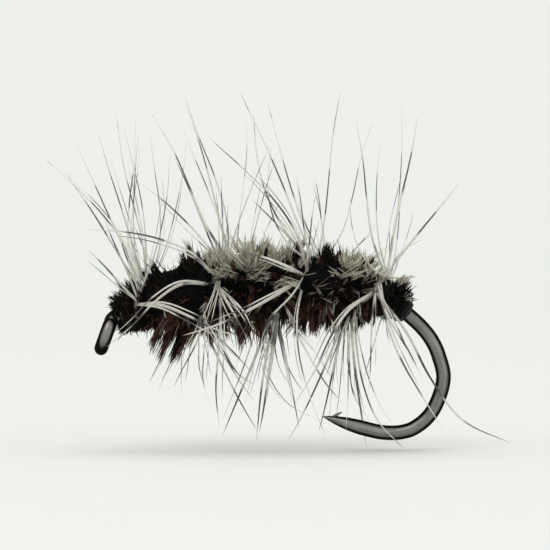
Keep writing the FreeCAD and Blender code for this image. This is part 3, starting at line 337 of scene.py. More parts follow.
# -------------------------------------------------------------------- curves
def arc_length(path):
    return np.r_[0, np.cumsum(np.linalg.norm(np.diff(path, axis=0), axis=1))]


def smooth_path(points, step):
    """Catmull-Rom curve through (x, z) or (x, y, z) points, resampled at an even step."""
    pts = np.asarray(points, float)
    if pts.shape[1] == 2:
        pts = np.c_[pts[:, 0], np.zeros(len(pts)), pts[:, 1]]
    pts = np.vstack([2 * pts[0] - pts[1], pts, 2 * pts[-1] - pts[-2]])
    t = np.linspace(0, 1, 13)[:-1, None]
    curve = []
    for i in range(1, len(pts) - 2):
        a, b, c, d = pts[i - 1:i + 3]
        curve.append(0.5 * (2 * b + (c - a) * t + (2 * a - 5 * b + 4 * c - d) * t ** 2
                            + (3 * b - a - 3 * c + d) * t ** 3))
    curve = np.vstack(curve + [pts[-2][None]])
    length = arc_length(curve)
    count = max(3, int(round(length[-1] / step)) + 1)
    even = np.linspace(0, length[-1], count)
    return np.stack([np.interp(even, length, curve[:, i]) for i in range(3)], 1)


AXIS = smooth_path(SHANK + BEND[:4], 0.02)
AXIS_TANGENT = np.gradient(AXIS, axis=0)
AXIS_TANGENT /= np.linalg.norm(AXIS_TANGENT, axis=1)[:, None]


def wire_at(x):
    """Centre, tangent and upward normal of the wire at each x."""
    x = np.atleast_1d(np.asarray(x, float))
    centre = np.stack([x, 0 * x, np.interp(x, AXIS[:, 0], AXIS[:, 2])], 1)
    tangent = np.stack([np.interp(x, AXIS[:, 0], AXIS_TANGENT[:, i]) for i in range(3)], 1)
    tangent /= np.linalg.norm(tangent, axis=1)[:, None]
    normal = np.stack([-tangent[:, 2], 0 * x, tangent[:, 0]], 1)
    return centre, tangent, normal


def around(x, radius, angle):
    """Points at a radius from the wire; angle 0 is on top, 90 degrees on the right (+Y)."""
    centre, _, normal = wire_at(x)
    radius = np.broadcast_to(radius, len(centre))
    angle = np.broadcast_to(angle, len(centre))
    return (centre + normal * (radius * np.cos(angle))[:, None]
            + Y * (radius * np.sin(angle))[:, None])


def ring_angles(count):
    return np.arange(count) * 2 * math.pi / count


# -------------------------------------------------------------- mesh making
def add_object(name, data):
    ob = bpy.data.objects.new(name, data)
    bpy.context.scene.collection.objects.link(ob)
    return ob


class Strands:
    """Collects swept strands into one mesh, with named values stored per point."""

    def __init__(self, *names):
        self.points, self.loops, self.sizes = [], [], []
        self.values = {name: [] for name in names}
        self.count = 0

    def tube(self, path, radius, sides, flat=1.0, side_dir=(0, 0, 1), **values):
        """A round or flattened strand along a path; radius may vary along it."""
        path = np.asarray(path, float)
        radius = np.broadcast_to(np.asarray(radius, float), len(path))
        tangent = np.gradient(path, axis=0)
        tangent /= np.linalg.norm(tangent, axis=1)[:, None] + 1e-12
        start = np.asarray(side_dir, float)
        if abs(start @ tangent[0]) > 0.95:
            start = np.array([1.0, 0.0, 0.0])
        normal = np.empty_like(path)
        first = start - tangent[0] * (start @ tangent[0])
        normal[0] = first / np.linalg.norm(first)
        for i in range(1, len(path)):
            turned = normal[i - 1] - tangent[i] * (normal[i - 1] @ tangent[i])
            normal[i] = turned / (np.linalg.norm(turned) + 1e-12)
        binormal = np.cross(tangent, normal)
        angle = ring_angles(sides)[None, :, None]
        rings = path[:, None] + radius[:, None, None] * (
            np.cos(angle) * normal[:, None] + flat * np.sin(angle) * binormal[:, None])
        self.skin(rings, **values)

    def skin(self, rings, **values):
        """A closed surface over rings (rings x points x 3), capped at both ends.

        A value is one number, one number per ring, or a (1, points) row used on every ring.
        """
        length, sides = rings.shape[:2]
        self.points.append(rings.reshape(-1, 3))
        i = np.arange(length - 1)[:, None] * sides
        j = np.arange(sides)[None]
        k = (j + 1) % sides
        quads = np.stack([i + j, i + k, i + sides + k, i + sides + j], -1).reshape(-1, 4)
        cap = np.arange(sides) + self.count
        self.loops += [(quads + self.count).ravel(), cap[::-1], cap + (length - 1) * sides]
        self.sizes += [np.full(len(quads), 4), np.array([sides, sides])]
        for name, stored in self.values.items():
            value = np.asarray(values.get(name, 0.0), float)
            if value.ndim == 1:
                value = value[:, None]
            stored.append(np.broadcast_to(value, (length, sides)).ravel())
        self.count += length * sides

    def build(self, name, material):
        points = np.vstack(self.points) * MM
        loops = np.concatenate(self.loops).astype(np.int32)
        sizes = np.concatenate(self.sizes).astype(np.int32)
        mesh = bpy.data.meshes.new(name)
        mesh.vertices.add(len(points))
        mesh.vertices.foreach_set("co", points.astype(np.float32).ravel())
        mesh.loops.add(len(loops))
        mesh.loops.foreach_set("vertex_index", loops)
        mesh.polygons.add(len(sizes))
        starts = np.r_[0, np.cumsum(sizes)[:-1]].astype(np.int32)
        mesh.polygons.foreach_set("loop_start", starts)
        mesh.polygons.foreach_set("use_smooth", np.full(len(sizes), True))
        for key, stored in self.values.items():
            layer = mesh.attributes.new(key, "FLOAT", "POINT")
            layer.data.foreach_set("value", np.concatenate(stored).astype(np.float32))
        mesh.update(calc_edges=True)
        mesh.validate()
        ob = add_object(name, mesh)
        mesh.materials.append(material)
        return ob

    def build_rigid(self, name, material, slot, replaced=None):
        """Build a piece that moves with the whole fly."""
        ob = self.build(name, material)
        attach(ob, ROOT)
        if replaced:
            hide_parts(replaced)


# ------------------------------------------------------------------ materials
class Shader:
    """Writes a material's node tree as nested calls."""

    def __init__(self, name):
        self.material = bpy.data.materials.new(name)
        self.material.use_nodes = True
        self.tree = self.material.node_tree
        self.tree.nodes.clear()
        self.out = self.new("OutputMaterial")

    def new(self, kind):
        return self.tree.nodes.new("ShaderNode" + kind)

    def put(self, socket, value):
        """Link a socket, or set it; a tuple is an RGB colour."""
        if isinstance(value, bpy.types.NodeSocket):
            self.tree.links.new(value, socket)
        else:
            socket.default_value = value + (1.0,) if isinstance(value, tuple) else value

    def fill(self, node, inputs):
        for key, value in inputs.items():
            self.put(node.inputs[key], value)

    def attr(self, name):
        node = self.new("Attribute")
        node.attribute_name = name
        return node.outputs["Fac"]

    def math(self, operation, *terms, clamp=False):
        node = self.new("Math")
        node.operation, node.use_clamp = operation, clamp
        self.fill(node, dict(enumerate(terms)))
        return node.outputs[0]

    def add(self, first, second):
        return self.math("ADD", first, second)

    def times(self, first, second, clamp=False):
        return self.math("MULTIPLY", first, second, clamp=clamp)

    def place(self, scale=(1, 1, 1)):
        coords = self.new("TexCoord")
        mapping = self.new("Mapping")
        mapping.inputs["Scale"].default_value = scale
        self.tree.links.new(coords.outputs["Object"], mapping.inputs["Vector"])
        return mapping.outputs[0]

    def noise(self, scale, detail, rough, vector=None):
        node = self.new("TexNoise")
        vector = vector if vector is not None else self.place()
        self.fill(node, {"Vector": vector, "Scale": scale, "Detail": detail, "Roughness": rough})
        return node.outputs["Fac"]

    def streaks(self, along, across, stretch, detail):
        """Noise drawn out along a strand; stretch is its frequency along and across."""
        along, across = self.times(along, stretch[0]), self.times(across, stretch[1])
        node = self.new("CombineXYZ")
        self.fill(node, {0: along, 1: across})
        return self.noise(scale=1.0, detail=detail, rough=0.6, vector=node.outputs[0])

    def remap(self, value, over, to=(0.0, 1.0)):
        """Smooth step of a value from one range to another."""
        node = self.new("MapRange")
        node.interpolation_type = "SMOOTHSTEP"
        self.fill(node, {"Value": value, "From Min": over[0], "From Max": over[1],
                         "To Min": to[0], "To Max": to[1]})
        return node.outputs[0]

    def mix(self, factor, low, high):
        node = self.new("Mix")
        node.data_type = "RGBA"
        # sockets 6 and 7 and output 2 are the colour ones
        self.fill(node, {"Factor": factor, 6: low, 7: high})
        return node.outputs[2]

    def facing(self):
        node = self.new("LayerWeight")
        node.inputs["Blend"].default_value = 0.5
        return node.outputs["Facing"]

    def bump(self, height, strength, distance):
        """Surface relief; distance is in metres."""
        node = self.new("Bump")
        self.fill(node, {"Height": height, "Strength": strength, "Distance": distance})
        return node.outputs[0]

    def principled(self, **inputs):
        node = self.new("BsdfPrincipled")
        self.fill(node, {key.replace("_", " "): value for key, value in inputs.items()})
        return node.outputs[0]

    def finish(self, surface):
        self.tree.links.new(surface, self.out.inputs[0])
        return self.material


def hook_material():
    """Blackened wire: dark, smooth, drawn lengthwise."""
    mat = Shader("black_nickel_wire")
    streak = mat.streaks(mat.attr("s"), mat.attr("a"), stretch=(0.9, 14.0), detail=4.0)
    patch = mat.noise(scale=900.0, detail=3.0, rough=0.55)
    tone = mat.add(mat.times(streak, 0.5), mat.times(patch, 0.5))
    colour = mat.mix(mat.remap(tone, over=(0.35, 0.68)),
                     low=(0.15, 0.146, 0.135), high=(0.32, 0.312, 0.288))
    colour = mat.mix(mat.remap(patch, over=(0.58, 0.76)), low=colour, high=(0.19, 0.165, 0.17))
    # painted shade: the colour falls to near black where the wire turns away from the view,
    # standing in for its dark edges
    colour = mat.mix(mat.remap(mat.facing(), over=(0.05, 0.32)),
                     low=colour, high=(0.012, 0.011, 0.011))
    return mat.finish(mat.principled(
        Base_Color=colour, Metallic=0.92, Specular_Tint=(0.10, 0.10, 0.10),
        Roughness=mat.remap(streak, over=(0.3, 0.7), to=(0.26, 0.42)),
        Normal=mat.bump(streak, strength=0.25, distance=0.000004)))


def thread_material():
    """Black waxed tying thread, a flat bundle of twisted filaments."""
    mat = Shader("black_tying_thread")
    along, across = mat.attr("s"), mat.attr("a")
    # filaments twist at 95 radians a millimetre; 18.85 gives three of them round the thread
    twist = mat.math("SINE", mat.add(mat.times(along, 95.0), mat.times(across, 18.85)))
    fibre = mat.streaks(along, across, stretch=(6.0, 22.0), detail=4.0)
    tone = mat.add(mat.times(mat.add(twist, 1.0), 0.25), mat.times(fibre, 0.5))
    return mat.finish(mat.principled(
        Base_Color=mat.mix(mat.remap(tone, over=(0.25, 0.85)),
                           low=(0.0024, 0.0022, 0.0020), high=(0.020, 0.018, 0.017)),
        Roughness=mat.remap(fibre, over=(0.3, 0.7), to=(0.40, 0.62)), Specular_IOR_Level=0.14,
        Normal=mat.bump(tone, strength=0.6, distance=0.000006)))


def bed_material():
    """The same thread seen as a bed of side-by-side turns."""
    mat = Shader("thread_bed")
    turn = mat.noise(scale=1.0, detail=2.0, rough=0.4,
                     vector=mat.place(scale=(17000.0, 1200.0, 1200.0)))
    return mat.finish(mat.principled(
        Base_Color=mat.mix(mat.remap(turn, over=(0.35, 0.65)),
                           low=(0.004, 0.004, 0.0045), high=(0.026, 0.024, 0.024)),
        Roughness=mat.remap(turn, over=(0.3, 0.7), to=(0.38, 0.6)),
        Normal=mat.bump(turn, strength=0.5, distance=0.000008)))


def varnish_material():
    mat = Shader("head_varnish")
    lumps = mat.noise(scale=2600.0, detail=2.0, rough=0.5)
    return mat.finish(mat.principled(
        Base_Color=mat.mix(mat.remap(lumps, over=(0.3, 0.7)),
                           low=(0.010, 0.009, 0.008), high=(0.030, 0.026, 0.022)),
        Roughness=mat.remap(lumps, over=(0.3, 0.7), to=(0.07, 0.18)),
        Specular_IOR_Level=0.55, Coat_Weight=0.6, Coat_Roughness=0.05,
        Normal=mat.bump(lumps, strength=0.25, distance=0.00001)))


def quill_material():
    """Peacock herl quill: dark, ridged, with a faint bronze shine."""
    mat = Shader("herl_quill")
    ridge = mat.noise(scale=5200.0, detail=4.0, rough=0.6)
    patch = mat.noise(scale=1500.0, detail=2.0, rough=0.5)
    bronze = mat.mix(mat.remap(patch, over=(0.4, 0.65)),
                     low=(0.035, 0.020, 0.014), high=(0.02, 0.024, 0.012))
    return mat.finish(mat.principled(
        Base_Color=mat.mix(mat.remap(ridge, over=(0.35, 0.7)),
                           low=(0.006, 0.005, 0.005), high=bronze),
        Roughness=mat.remap(ridge, over=(0.3, 0.7), to=(0.32, 0.6)),
        Normal=mat.bump(ridge, strength=0.5, distance=0.00001)))


def flue_material():
    """Herl flue: near-black fibres, some red-brown, some with pale straw tips; on the top locks
    these tips are a painted highlight.
    """
    mat = Shader("herl_flue")
    along, brown, pale = mat.attr("t"), mat.attr("brown"), mat.attr("pale")
    own = mat.attr("rnd")
    grain = mat.noise(scale=9000.0, detail=2.0, rough=0.6)
    black = mat.mix(own, low=(0.0022, 0.0018, 0.0012), high=(0.0085, 0.0070, 0.0050))
    warm = mat.mix(own, low=(0.020, 0.0080, 0.0056), high=(0.185, 0.088, 0.062))
    browning = mat.times(brown, mat.remap(along, over=(0.15, 0.9), to=(0.30, 1.0)))
    base = mat.mix(browning, low=black, high=warm)
    # straw tips; on the upper locks they are a painted highlight of light caught by the flue
    straw = mat.mix(own, low=(0.48, 0.462, 0.335), high=(0.90, 0.88, 0.74))
    tip = mat.times(pale, mat.remap(along, over=(0.20, 0.46)), clamp=True)
    colour = mat.mix(tip, low=base, high=straw)
    speck = mat.mix(tip, low=(0.028, 0.022, 0.016), high=straw)
    colour = mat.mix(mat.remap(grain, over=(0.60, 0.85), to=(0.0, 0.30)),
                     low=colour, high=speck)
    return mat.finish(mat.principled(
        Base_Color=colour, Roughness=mat.remap(grain, over=(0.3, 0.7), to=(0.50, 0.75)),
        Specular_IOR_Level=0.09, Sheen_Weight=0.03, Sheen_Roughness=0.35,
        Sheen_Tint=(0.60, 0.62, 0.40)))


def core_material():
    mat = Shader("herl_core")
    grain = mat.noise(scale=4200.0, detail=4.0, rough=0.65)
    patch = mat.noise(scale=1300.0, detail=2.0, rough=0.5)
    lighter = mat.mix(mat.remap(patch, over=(0.4, 0.7)),
                      low=(0.008, 0.007, 0.008), high=(0.026, 0.013, 0.012))
    return mat.finish(mat.principled(
        Base_Color=mat.mix(mat.remap(grain, over=(0.4, 0.75)),
                           low=(0.0022, 0.002, 0.0023), high=lighter),
        Roughness=0.85, Specular_IOR_Level=0.05,
        Normal=mat.bump(grain, strength=0.8, distance=0.00002)))


def barb_material():
    """Grizzly hackle: cream crossed by soft-edged grey-black bars, pale at the root."""
    bar_spacing, bar_centre = 2.55, 2.85    # along the barb
    bar_softness = 0.65
    wobble, translucency = 0.7, 0.25
    mat = Shader("grizzly_barb")
    along, phase, dark, own = mat.attr("s"), mat.attr("ph"), mat.attr("dk"), mat.attr("rnd")
    unevenness = mat.noise(scale=1500.0, detail=2.0, rough=0.5)
    shift = mat.times(mat.math("SUBTRACT", unevenness, 0.5), wobble)
    place = mat.math("SUBTRACT", mat.add(mat.add(along, phase), shift), bar_centre)
    wave = mat.math("COSINE", mat.times(place, 2 * math.pi / bar_spacing))
    # a darker barb has wider bars, which start nearer its root
    edge = mat.math("SUBTRACT", 0.50, mat.times(dark, 1.30))
    bar = mat.remap(wave, over=(edge, mat.add(edge, bar_softness)))
    bar = mat.times(bar, mat.remap(mat.add(along, mat.times(dark, 0.9)), over=(0.9, 1.7)))
    grain = mat.streaks(along, own, stretch=(9.0, 40.0), detail=3.0)
    cream = mat.mix(own, low=(0.68, 0.665, 0.59), high=(0.90, 0.89, 0.83))
    cream = mat.mix(mat.remap(grain, over=(0.35, 0.75), to=(0.0, 0.40)),
                    low=cream, high=(0.46, 0.43, 0.37))
    black = mat.mix(own, low=(0.026, 0.024, 0.022), high=(0.110, 0.104, 0.098))
    bar = mat.times(bar, mat.remap(grain, over=(0.2, 0.8), to=(1.0, 0.84)))
    colour = mat.mix(bar, low=cream, high=black)
    body = mat.principled(
        Base_Color=colour, Roughness=mat.remap(grain, over=(0.3, 0.7), to=(0.30, 0.5)),
        Specular_IOR_Level=0.40, Normal=mat.bump(grain, strength=0.35, distance=0.000006))
    glow = mat.new("BsdfTranslucent")
    mat.put(glow.inputs["Color"], colour)
    both = mat.new("MixShader")
    mat.fill(both, {0: translucency, 1: body, 2: glow.outputs[0]})
    return mat.finish(both.outputs[0])


def stem_material():
    mat = Shader("feather_stem")
    grain = mat.noise(scale=2400.0, detail=3.0, rough=0.6)
    return mat.finish(mat.principled(
        Base_Color=mat.mix(mat.remap(grain, over=(0.35, 0.7)),
                           low=(0.30, 0.265, 0.21), high=(0.075, 0.060, 0.050)),
        Roughness=mat.remap(grain, over=(0.3, 0.7), to=(0.3, 0.5)),
        Normal=mat.bump(grain, strength=0.3, distance=0.00001)))


def floor_material():
    mat = Shader("pale_floor")
    paper = mat.noise(scale=900.0, detail=3.0, rough=0.5)
    return mat.finish(mat.principled(
        Base_Color=mat.mix(paper, low=(0.805, 0.820, 0.798), high=(0.822, 0.835, 0.812)),
        Roughness=0.9, Specular_IOR_Level=0.08))


HOOK, THREAD, BED = hook_material(), thread_material(), bed_material()
VARNISH, QUILL, FLUE = varnish_material(), quill_material(), flue_material()
CORE, BARB, STEM = core_material(), barb_material(), stem_material()


def dress(material, *nodes):
    """Give CAD nodes that keep their own shape a better material."""
    for node in nodes:
        ob = frame["nodes"][node]
        if not ob.material_slots:
            ob.data.materials.append(material)
        for slot in ob.material_slots:
            slot.material = material


# ----------------------------------------------------------------------- hook
def make_hook():
    strands = Strands("s", "a")
    down = np.array(EYE_DOWN)
    down /= np.linalg.norm(down)

    def eye_point(degrees):
        angle = math.radians(degrees)
        return EYE_RADIUS * (-math.cos(angle) * down + math.sin(angle) * Y)

    eye = [eye_point(degrees) for degrees in [*range(322, 34, -18), 34]]
    neck = [np.array(point) for point in EYE_NECK]
    body = [np.array([x, 0, z]) for x, z in SHANK[2:] + BEND + SPEAR]
    path = smooth_path(eye + neck + body, 0.045)
    length = arc_length(path)
    eye_length = length[np.argmin(np.linalg.norm(path - neck[-1], axis=1))]
    # the wire is thinner round the eye and tapers to the point
    radius = np.interp(length, [0, 0.05, 0.14, eye_length, eye_length + 0.3],
                       [0.10, 0.165, 0.188, 0.19, WIRE_RADIUS])
    radius = np.minimum(radius, np.interp(length[-1] - length, [0.0, 0.06, 0.36, 0.70, 1.05],
                                          [0.006, 0.03, 0.115, 0.175, WIRE_RADIUS]))
    sides = 24
    strands.tube(path, radius, sides, s=length,
                 a=np.abs(np.linspace(-1, 1, sides, endpoint=False))[None])
    # barb: a sliver cut and raised from the inner side of the spear
    path = smooth_path(HOOK_BARB, 0.02)
    radius = np.interp(np.linspace(0, 1, len(path)), [0, 0.4, 0.75, 1],
                       [0.045, 0.052, 0.035, 0.006])
    strands.tube(path, radius, 10, flat=0.8, side_dir=(0, 1, 0), s=0.5)
    strands.build_rigid("hook_wire", HOOK, "hook_wire", "hook")


# --------------------------------------------------------------------- thread
def wind(strands, rng, bed, layers):
    """Layers of thread wound round the wire, a little uneven as thread is."""
    sides = 8
    for start, end, pitch, lift, thread_radius, phase, wobble in layers:
        turns = abs(end - start) / pitch
        f = np.linspace(0, 1, int(turns * 26) + 2)
        knots = rng.normal(0, 1, int(turns * 3) + 4)
        knot_f = np.linspace(0, 1, len(knots))
        x = start + (end - start) * f
        x = x + wobble * np.interp(f, knot_f, knots)
        radius = np.interp(x, *bed) + lift + 0.35 * wobble * np.interp(f, knot_f, knots[::-1])
        direction = 1 if end > start else -1
        path = around(x, radius, phase + 2 * math.pi * turns * f * direction)
        strands.tube(path, thread_radius, sides, flat=0.82, s=arc_length(path),
                     a=(np.arange(sides) / sides)[None])


def make_threads():
    rng = np.random.RandomState(11)
    head, rear = (HEAD_X, HEAD_RADIUS), (REAR_X, REAR_RADIUS)
    strands = Strands("s", "a")
    wind(strands, rng, head, HEAD_LAYERS)
    strands.build_rigid("head_wraps", THREAD, "thread", "thread_head")

    strands = Strands("s", "a")
    wind(strands, rng, head, WHIP_LAYERS)
    # the tail of the knot lies across its own turns
    x = np.linspace(0.40, 0.69, 16)
    tail = around(x, np.interp(x, *head) + 0.080, 3.9 + 1.5 * (x - 0.40))
    strands.tube(tail, 0.030, 8, s=np.linspace(0, 0.5, 16))
    strands.build_rigid("whip_finish_wraps", THREAD, "thread", "whip_finish")

    strands = Strands("s", "a")
    wind(strands, rng, rear, REAR_LAYERS)
    strands.build_rigid("rear_wraps", THREAD, "thread", "rear_thread_wraps")


def make_varnish():
    """A thin uneven film that runs from the wire up onto the first turns."""
    strands = Strands()
    angle = ring_angles(40)
    rings = []
    for j, (x, radius) in enumerate(zip(VARNISH_X, VARNISH_RADIUS)):
        lump = 1 + 0.02 * np.sin(3 * angle + j) + 0.015 * np.sin(7 * angle + 2 * j)
        rings.append(around(x + 0.006 * np.sin(5 * angle), radius * lump, angle))
    strands.skin(np.array(rings))
    strands.build_rigid("varnish_film", VARNISH, "varnish", "head_cement")


# ---------------------------------------------------------------- herl fringe
def envelope(x, angle):
    """Reach of the fringe from the wire."""
    top = np.interp(x, FRINGE[:, 0], FRINGE[:, 1])
    low = np.interp(x, FRINGE[:, 0], FRINGE[:, 2])
    return (top + low) / 2 + (top - low) / 2 * np.cos(angle)


def stem_gap(x, angle):
    """Distance along the shank to the nearest turn of the hackle stem."""
    turn = (angle + math.pi / 2) / (2 * math.pi)
    turn = turn - np.floor(turn)
    return np.min([np.abs(x - np.interp(turn + k, STEM_TURNS, STEM_X))
                   for k in range(-1, 4)], axis=0)


def ragged(x, angle):
    """Slow unevenness of the fringe's length, as turns of flue press each other apart."""
    return (0.5 * math.sin(5.1 * x + 2.0 * math.sin(1.3 * x) + 1.1)
            + 0.3 * math.sin(11.3 * x + 2 * angle) + 0.3 * math.sin(3 * angle + 4.0 * x)
            + 0.2 * math.sin(23.0 * x - 3 * angle))


def top_highlight_share(x, up):
    """How many of the locks end in straw-coloured tips, a painted highlight given only to the
    upper locks; up is 1 on top and -1 below.
    """
    return float(np.interp(x, TOP_HIGHLIGHT_X, TOP_HIGHLIGHT_SHARE) * np.interp(up, [0.24, 0.56], [0.0, 1.0]))


def thinned(count):
    return max(3, int(count * DENSITY))


class Flue:
    """The fringe in three parts along the shank, drawn from one random sequence."""

    def __init__(self):
        self.rng = np.random.RandomState(5)
        self.parts = [Strands("t", "brown", "pale", "rnd") for _ in PARTS]

    def lock(self, x, angle, length, lean, sweep, count, brown=0.0, pale=0.0, spread=0.10,
             gather=0.035, root=0.38, width=(0.013, 0.021), stray=0.18, part_x=None):
        """One lock of flue: fibres that rise apart and gather towards a point.

        lean is along the shank and sweep round it; stray is the share of fibres that miss
        the point; part_x picks the part of the fringe where it isn't x.
        """
        rng = self.rng
        place = x if part_x is None else part_x
        strands = self.parts[sum(place >= end for end in PART_ENDS)]
        centre, tangent, normal = (row[0] for row in wire_at(x))
        out = math.cos(angle) * normal + math.sin(angle) * Y
        across = np.cross(tangent, out)
        rise = max(length - root, 0.08)
        tip = centre + out * (root + rise) + tangent * lean * rise + across * sweep * rise
        for _ in range(count):
            start = around(x + rng.normal(0, spread * 0.8), root,
                           angle + rng.normal(0, spread / root))[0]
            end = tip + rng.normal(0, gather, 3) - out * abs(rng.normal(0, 0.10)) * rise
            if rng.rand() < stray:
                end = end + rng.normal(0, 0.11, 3)
            middle = start * 0.42 + end * 0.58 + out * 0.05 + rng.normal(0, 0.022, 3)
            f = np.linspace(0, 1, 6)[:, None]
            path = start * (1 - f) ** 2 + 2 * middle * f * (1 - f) + end * f ** 2
            taper = rng.uniform(*width) * np.array([1.0, 1.0, 0.94, 0.80, 0.54, 0.16])
            strands.tube(path, taper, 3, t=f[:, 0], brown=brown * rng.uniform(0.5, 1.0),
                         pale=pale * rng.uniform(0.5, 1.0), rnd=rng.rand())


def add_body_locks(flue):
    """Rows of flue that stand over the turns of quill."""
    rng = flue.rng
    for _ in range(900):
        x = FLUE_START + (7.84 - FLUE_START) * rng.rand()
        row = round((x - FLUE_START) / FLUE_ROW) + 0.28 * rng.randn()
        x = min(max(FLUE_START + FLUE_ROW * row, FLUE_START), 7.90)
        angle = rng.uniform(-math.pi, math.pi)
        if math.cos(angle) > 0 and rng.rand() < 0.20:
            angle = rng.choice([-1, 1]) * rng.uniform(0.5 * math.pi, math.pi)
        up = math.cos(angle)
        press = 1 - 0.38 * math.exp(-(stem_gap(x, angle) / 0.19) ** 2) * (x > 1.1)
        uneven = ragged(x, angle)
        share = 0.86 + 0.17 * uneven + rng.uniform(-0.10, 0.10)
        if up < -0.25:      # below, the flue hangs in separate clumps
            share = 0.80 + 0.25 * uneven + rng.uniform(-0.07, 0.07)
            if uneven < 0.05 and rng.rand() < 0.35:
                continue
        length = envelope(x, angle) * press * share
        # straw tips, mostly on top: a painted highlight of lit flue tips
        pale = (float(rng.rand() < top_highlight_share(x, up))
                or float(rng.rand() < (0.02 if up > 0 else 0.004)))
        brown = float(rng.rand() < (0.62 if up < -0.1 else 0.16)) * (0.0 if pale else 1.0)
        lean = rng.normal(0, 0.26) - (0.55 if up < -0.2 and x < 3 else 0.0)
        width = (0.016, 0.026) if up < -0.25 else (0.014, 0.023)
        if pale:
            width = (0.014, 0.024)
        sweep = rng.normal(0, 0.26)
        if pale and up < 0.8:      # on the flanks they lie over, in streaks
            lean, sweep = rng.normal(0, 0.75), rng.normal(0, 0.7)
            length *= 0.94
        flue.lock(x, angle, max(length, 0.50), lean, sweep, thinned(rng.randint(8, 15)),
                  brown, pale, spread=0.115, gather=0.045 if pale else 0.034, width=width,
                  stray=0.25 if pale else 0.12)


def add_tufts(flue):
    rng = flue.rng
    for x, angle, length, lean, kind in TUFTS:
        if abs(angle) > 2.5 and x < 2.7:     # the foremost clumps below point at the eye
            x, lean = x + 0.32, lean - 0.36
        for _ in range(3):
            flue.lock(x + rng.normal(0, 0.04), angle + rng.normal(0, 0.12),
                      length * rng.uniform(0.90, 1.02), lean + rng.normal(0, 0.04),
                      rng.normal(0, 0.10), int(9 * DENSITY) + 1, 0.8 * (kind == "brown"),
                      float(kind == "pale"), spread=0.09, gather=0.034,
                      width=(0.014, 0.022), stray=0.14, part_x=x)


def add_head_flue(flue):
    rng = flue.rng
    # the first turns crowd the eye: short dark flue that mostly leans forward
    for _ in range(190):
        x, angle = rng.uniform(0.42, 0.95), rng.uniform(-math.pi, math.pi)
        up = math.cos(angle)
        reach = np.interp(up, [-1, -0.3, 0.4, 1], [0.42, 0.44, 0.50, 0.54])
        reach = reach + 0.28 * max(0.0, x - 0.55)
        lean = rng.uniform(-0.9, 0.2 if up > -0.2 else 0.1)
        flue.lock(x, angle, reach * rng.uniform(0.88, 1.1) + 0.05, lean, rng.normal(0, 0.3),
                  thinned(9), float(rng.rand() < 0.10), spread=0.075, gather=0.03, root=0.30,
                  width=(0.013, 0.020), stray=0.10)
    # the foremost of them lie along the wire and end against the eye
    root, rise = 0.27, 0.12
    for _ in range(90):
        angle = rng.uniform(-math.pi, math.pi)
        x = rng.uniform(0.40, 0.52)
        low, high = (0.21, 0.42) if math.cos(angle) < 0.2 else (0.15, 0.40)
        tip_x = rng.uniform(low, high)
        rng.rand()      # spare draw that holds the random sequence in step
        flue.lock(x, angle, root + rise, -(x - tip_x) / rise, rng.normal(0, 0.3), thinned(8),
                  spread=0.05, gather=0.03, root=root, width=(0.012, 0.018), stray=0.0)
    # flue crosses over the first half turn of the feather's stem
    for _ in range(34):
        angle = rng.uniform(-2.6, -0.5)
        flue.lock(rng.uniform(0.66, 0.98), angle, rng.uniform(0.66, 0.80),
                  rng.normal(-0.1, 0.5), rng.normal(0, 0.5), thinned(10),
                  float(rng.rand() < 0.1), spread=0.09, gather=0.04, root=0.40,
                  width=(0.013, 0.020), stray=0.1)
    # and below the neck of the eye
    for _ in range(26):
        angle = math.pi + rng.uniform(-1.3, 1.3)
        flue.lock(rng.uniform(0.42, 0.60), angle, rng.uniform(0.44, 0.56),
                  rng.uniform(-1.0, -0.35), rng.normal(0, 0.3), thinned(9), spread=0.05,
                  gather=0.035, root=0.30, width=(0.012, 0.018), stray=0.1)


def add_rear_flue(flue):
    """The last locks run out over the thread at the bend."""
    rng = flue.rng
    for _ in range(70):
        angle = rng.uniform(-2.2, 2.2)
        x = rng.uniform(7.70, 8.12)
        reach = np.interp(x, [7.7, 8.12], [0.74, 0.46]) * rng.uniform(0.85, 1.12)
        reach = reach + 0.10 * max(0.0, math.cos(angle))
        flue.lock(x, angle, reach, rng.uniform(-0.3, 0.8), rng.normal(0, 0.3), thinned(8),
                  pale=float(rng.rand() < 0.12), spread=0.07, gather=0.03, root=0.33,
                  width=(0.012, 0.018), stray=0.15)


def add_wisps(flue):
    """Small light wisps that stand out singly from the flanks, more of them to the rear."""
    rng = flue.rng
    for i in range(74):
        start, end, widest = (1.5, 7.3, 2.75) if i < 44 else (5.5, 7.2, 2.2)
        x = rng.uniform(start, end)
        angle = rng.choice([-1, 1]) * rng.uniform(1.05, widest)
        brown, pale = (0.0, 0.95) if rng.rand() < 0.5 else (1.0, 0.30)
        flue.lock(x, angle, max(0.6, envelope(x, angle) * rng.uniform(0.90, 1.02)),
                  rng.normal(0, 0.35), rng.normal(0, 0.35), rng.randint(3, 6), brown, pale,
                  spread=0.05, gather=0.03, width=(0.012, 0.019), stray=0.2)


def add_loose_fibres(flue):
    """Single fibres between the locks."""
    rng = flue.rng
    for _ in range(int(1100 * DENSITY)):
        x, angle = rng.uniform(FLUE_START, 7.85), rng.uniform(-math.pi, math.pi)
        up = math.cos(angle)
        press = 1 - 0.36 * math.exp(-(stem_gap(x, angle) / 0.18) ** 2)
        share = rng.uniform(0.62, 1.04 if up > -0.25 else 0.90)
        flue.lock(x, angle, max(envelope(x, angle) * press * share, 0.55),
                  rng.normal(0, 0.45), rng.normal(0, 0.45), 1, float(rng.rand() < 0.3),
                  float(rng.rand() < 0.6 * top_highlight_share(x, up) + (0.04 if up > 0 else 0.01)),
                  spread=0.02, gather=0.02, width=(0.009, 0.014), stray=0.0)


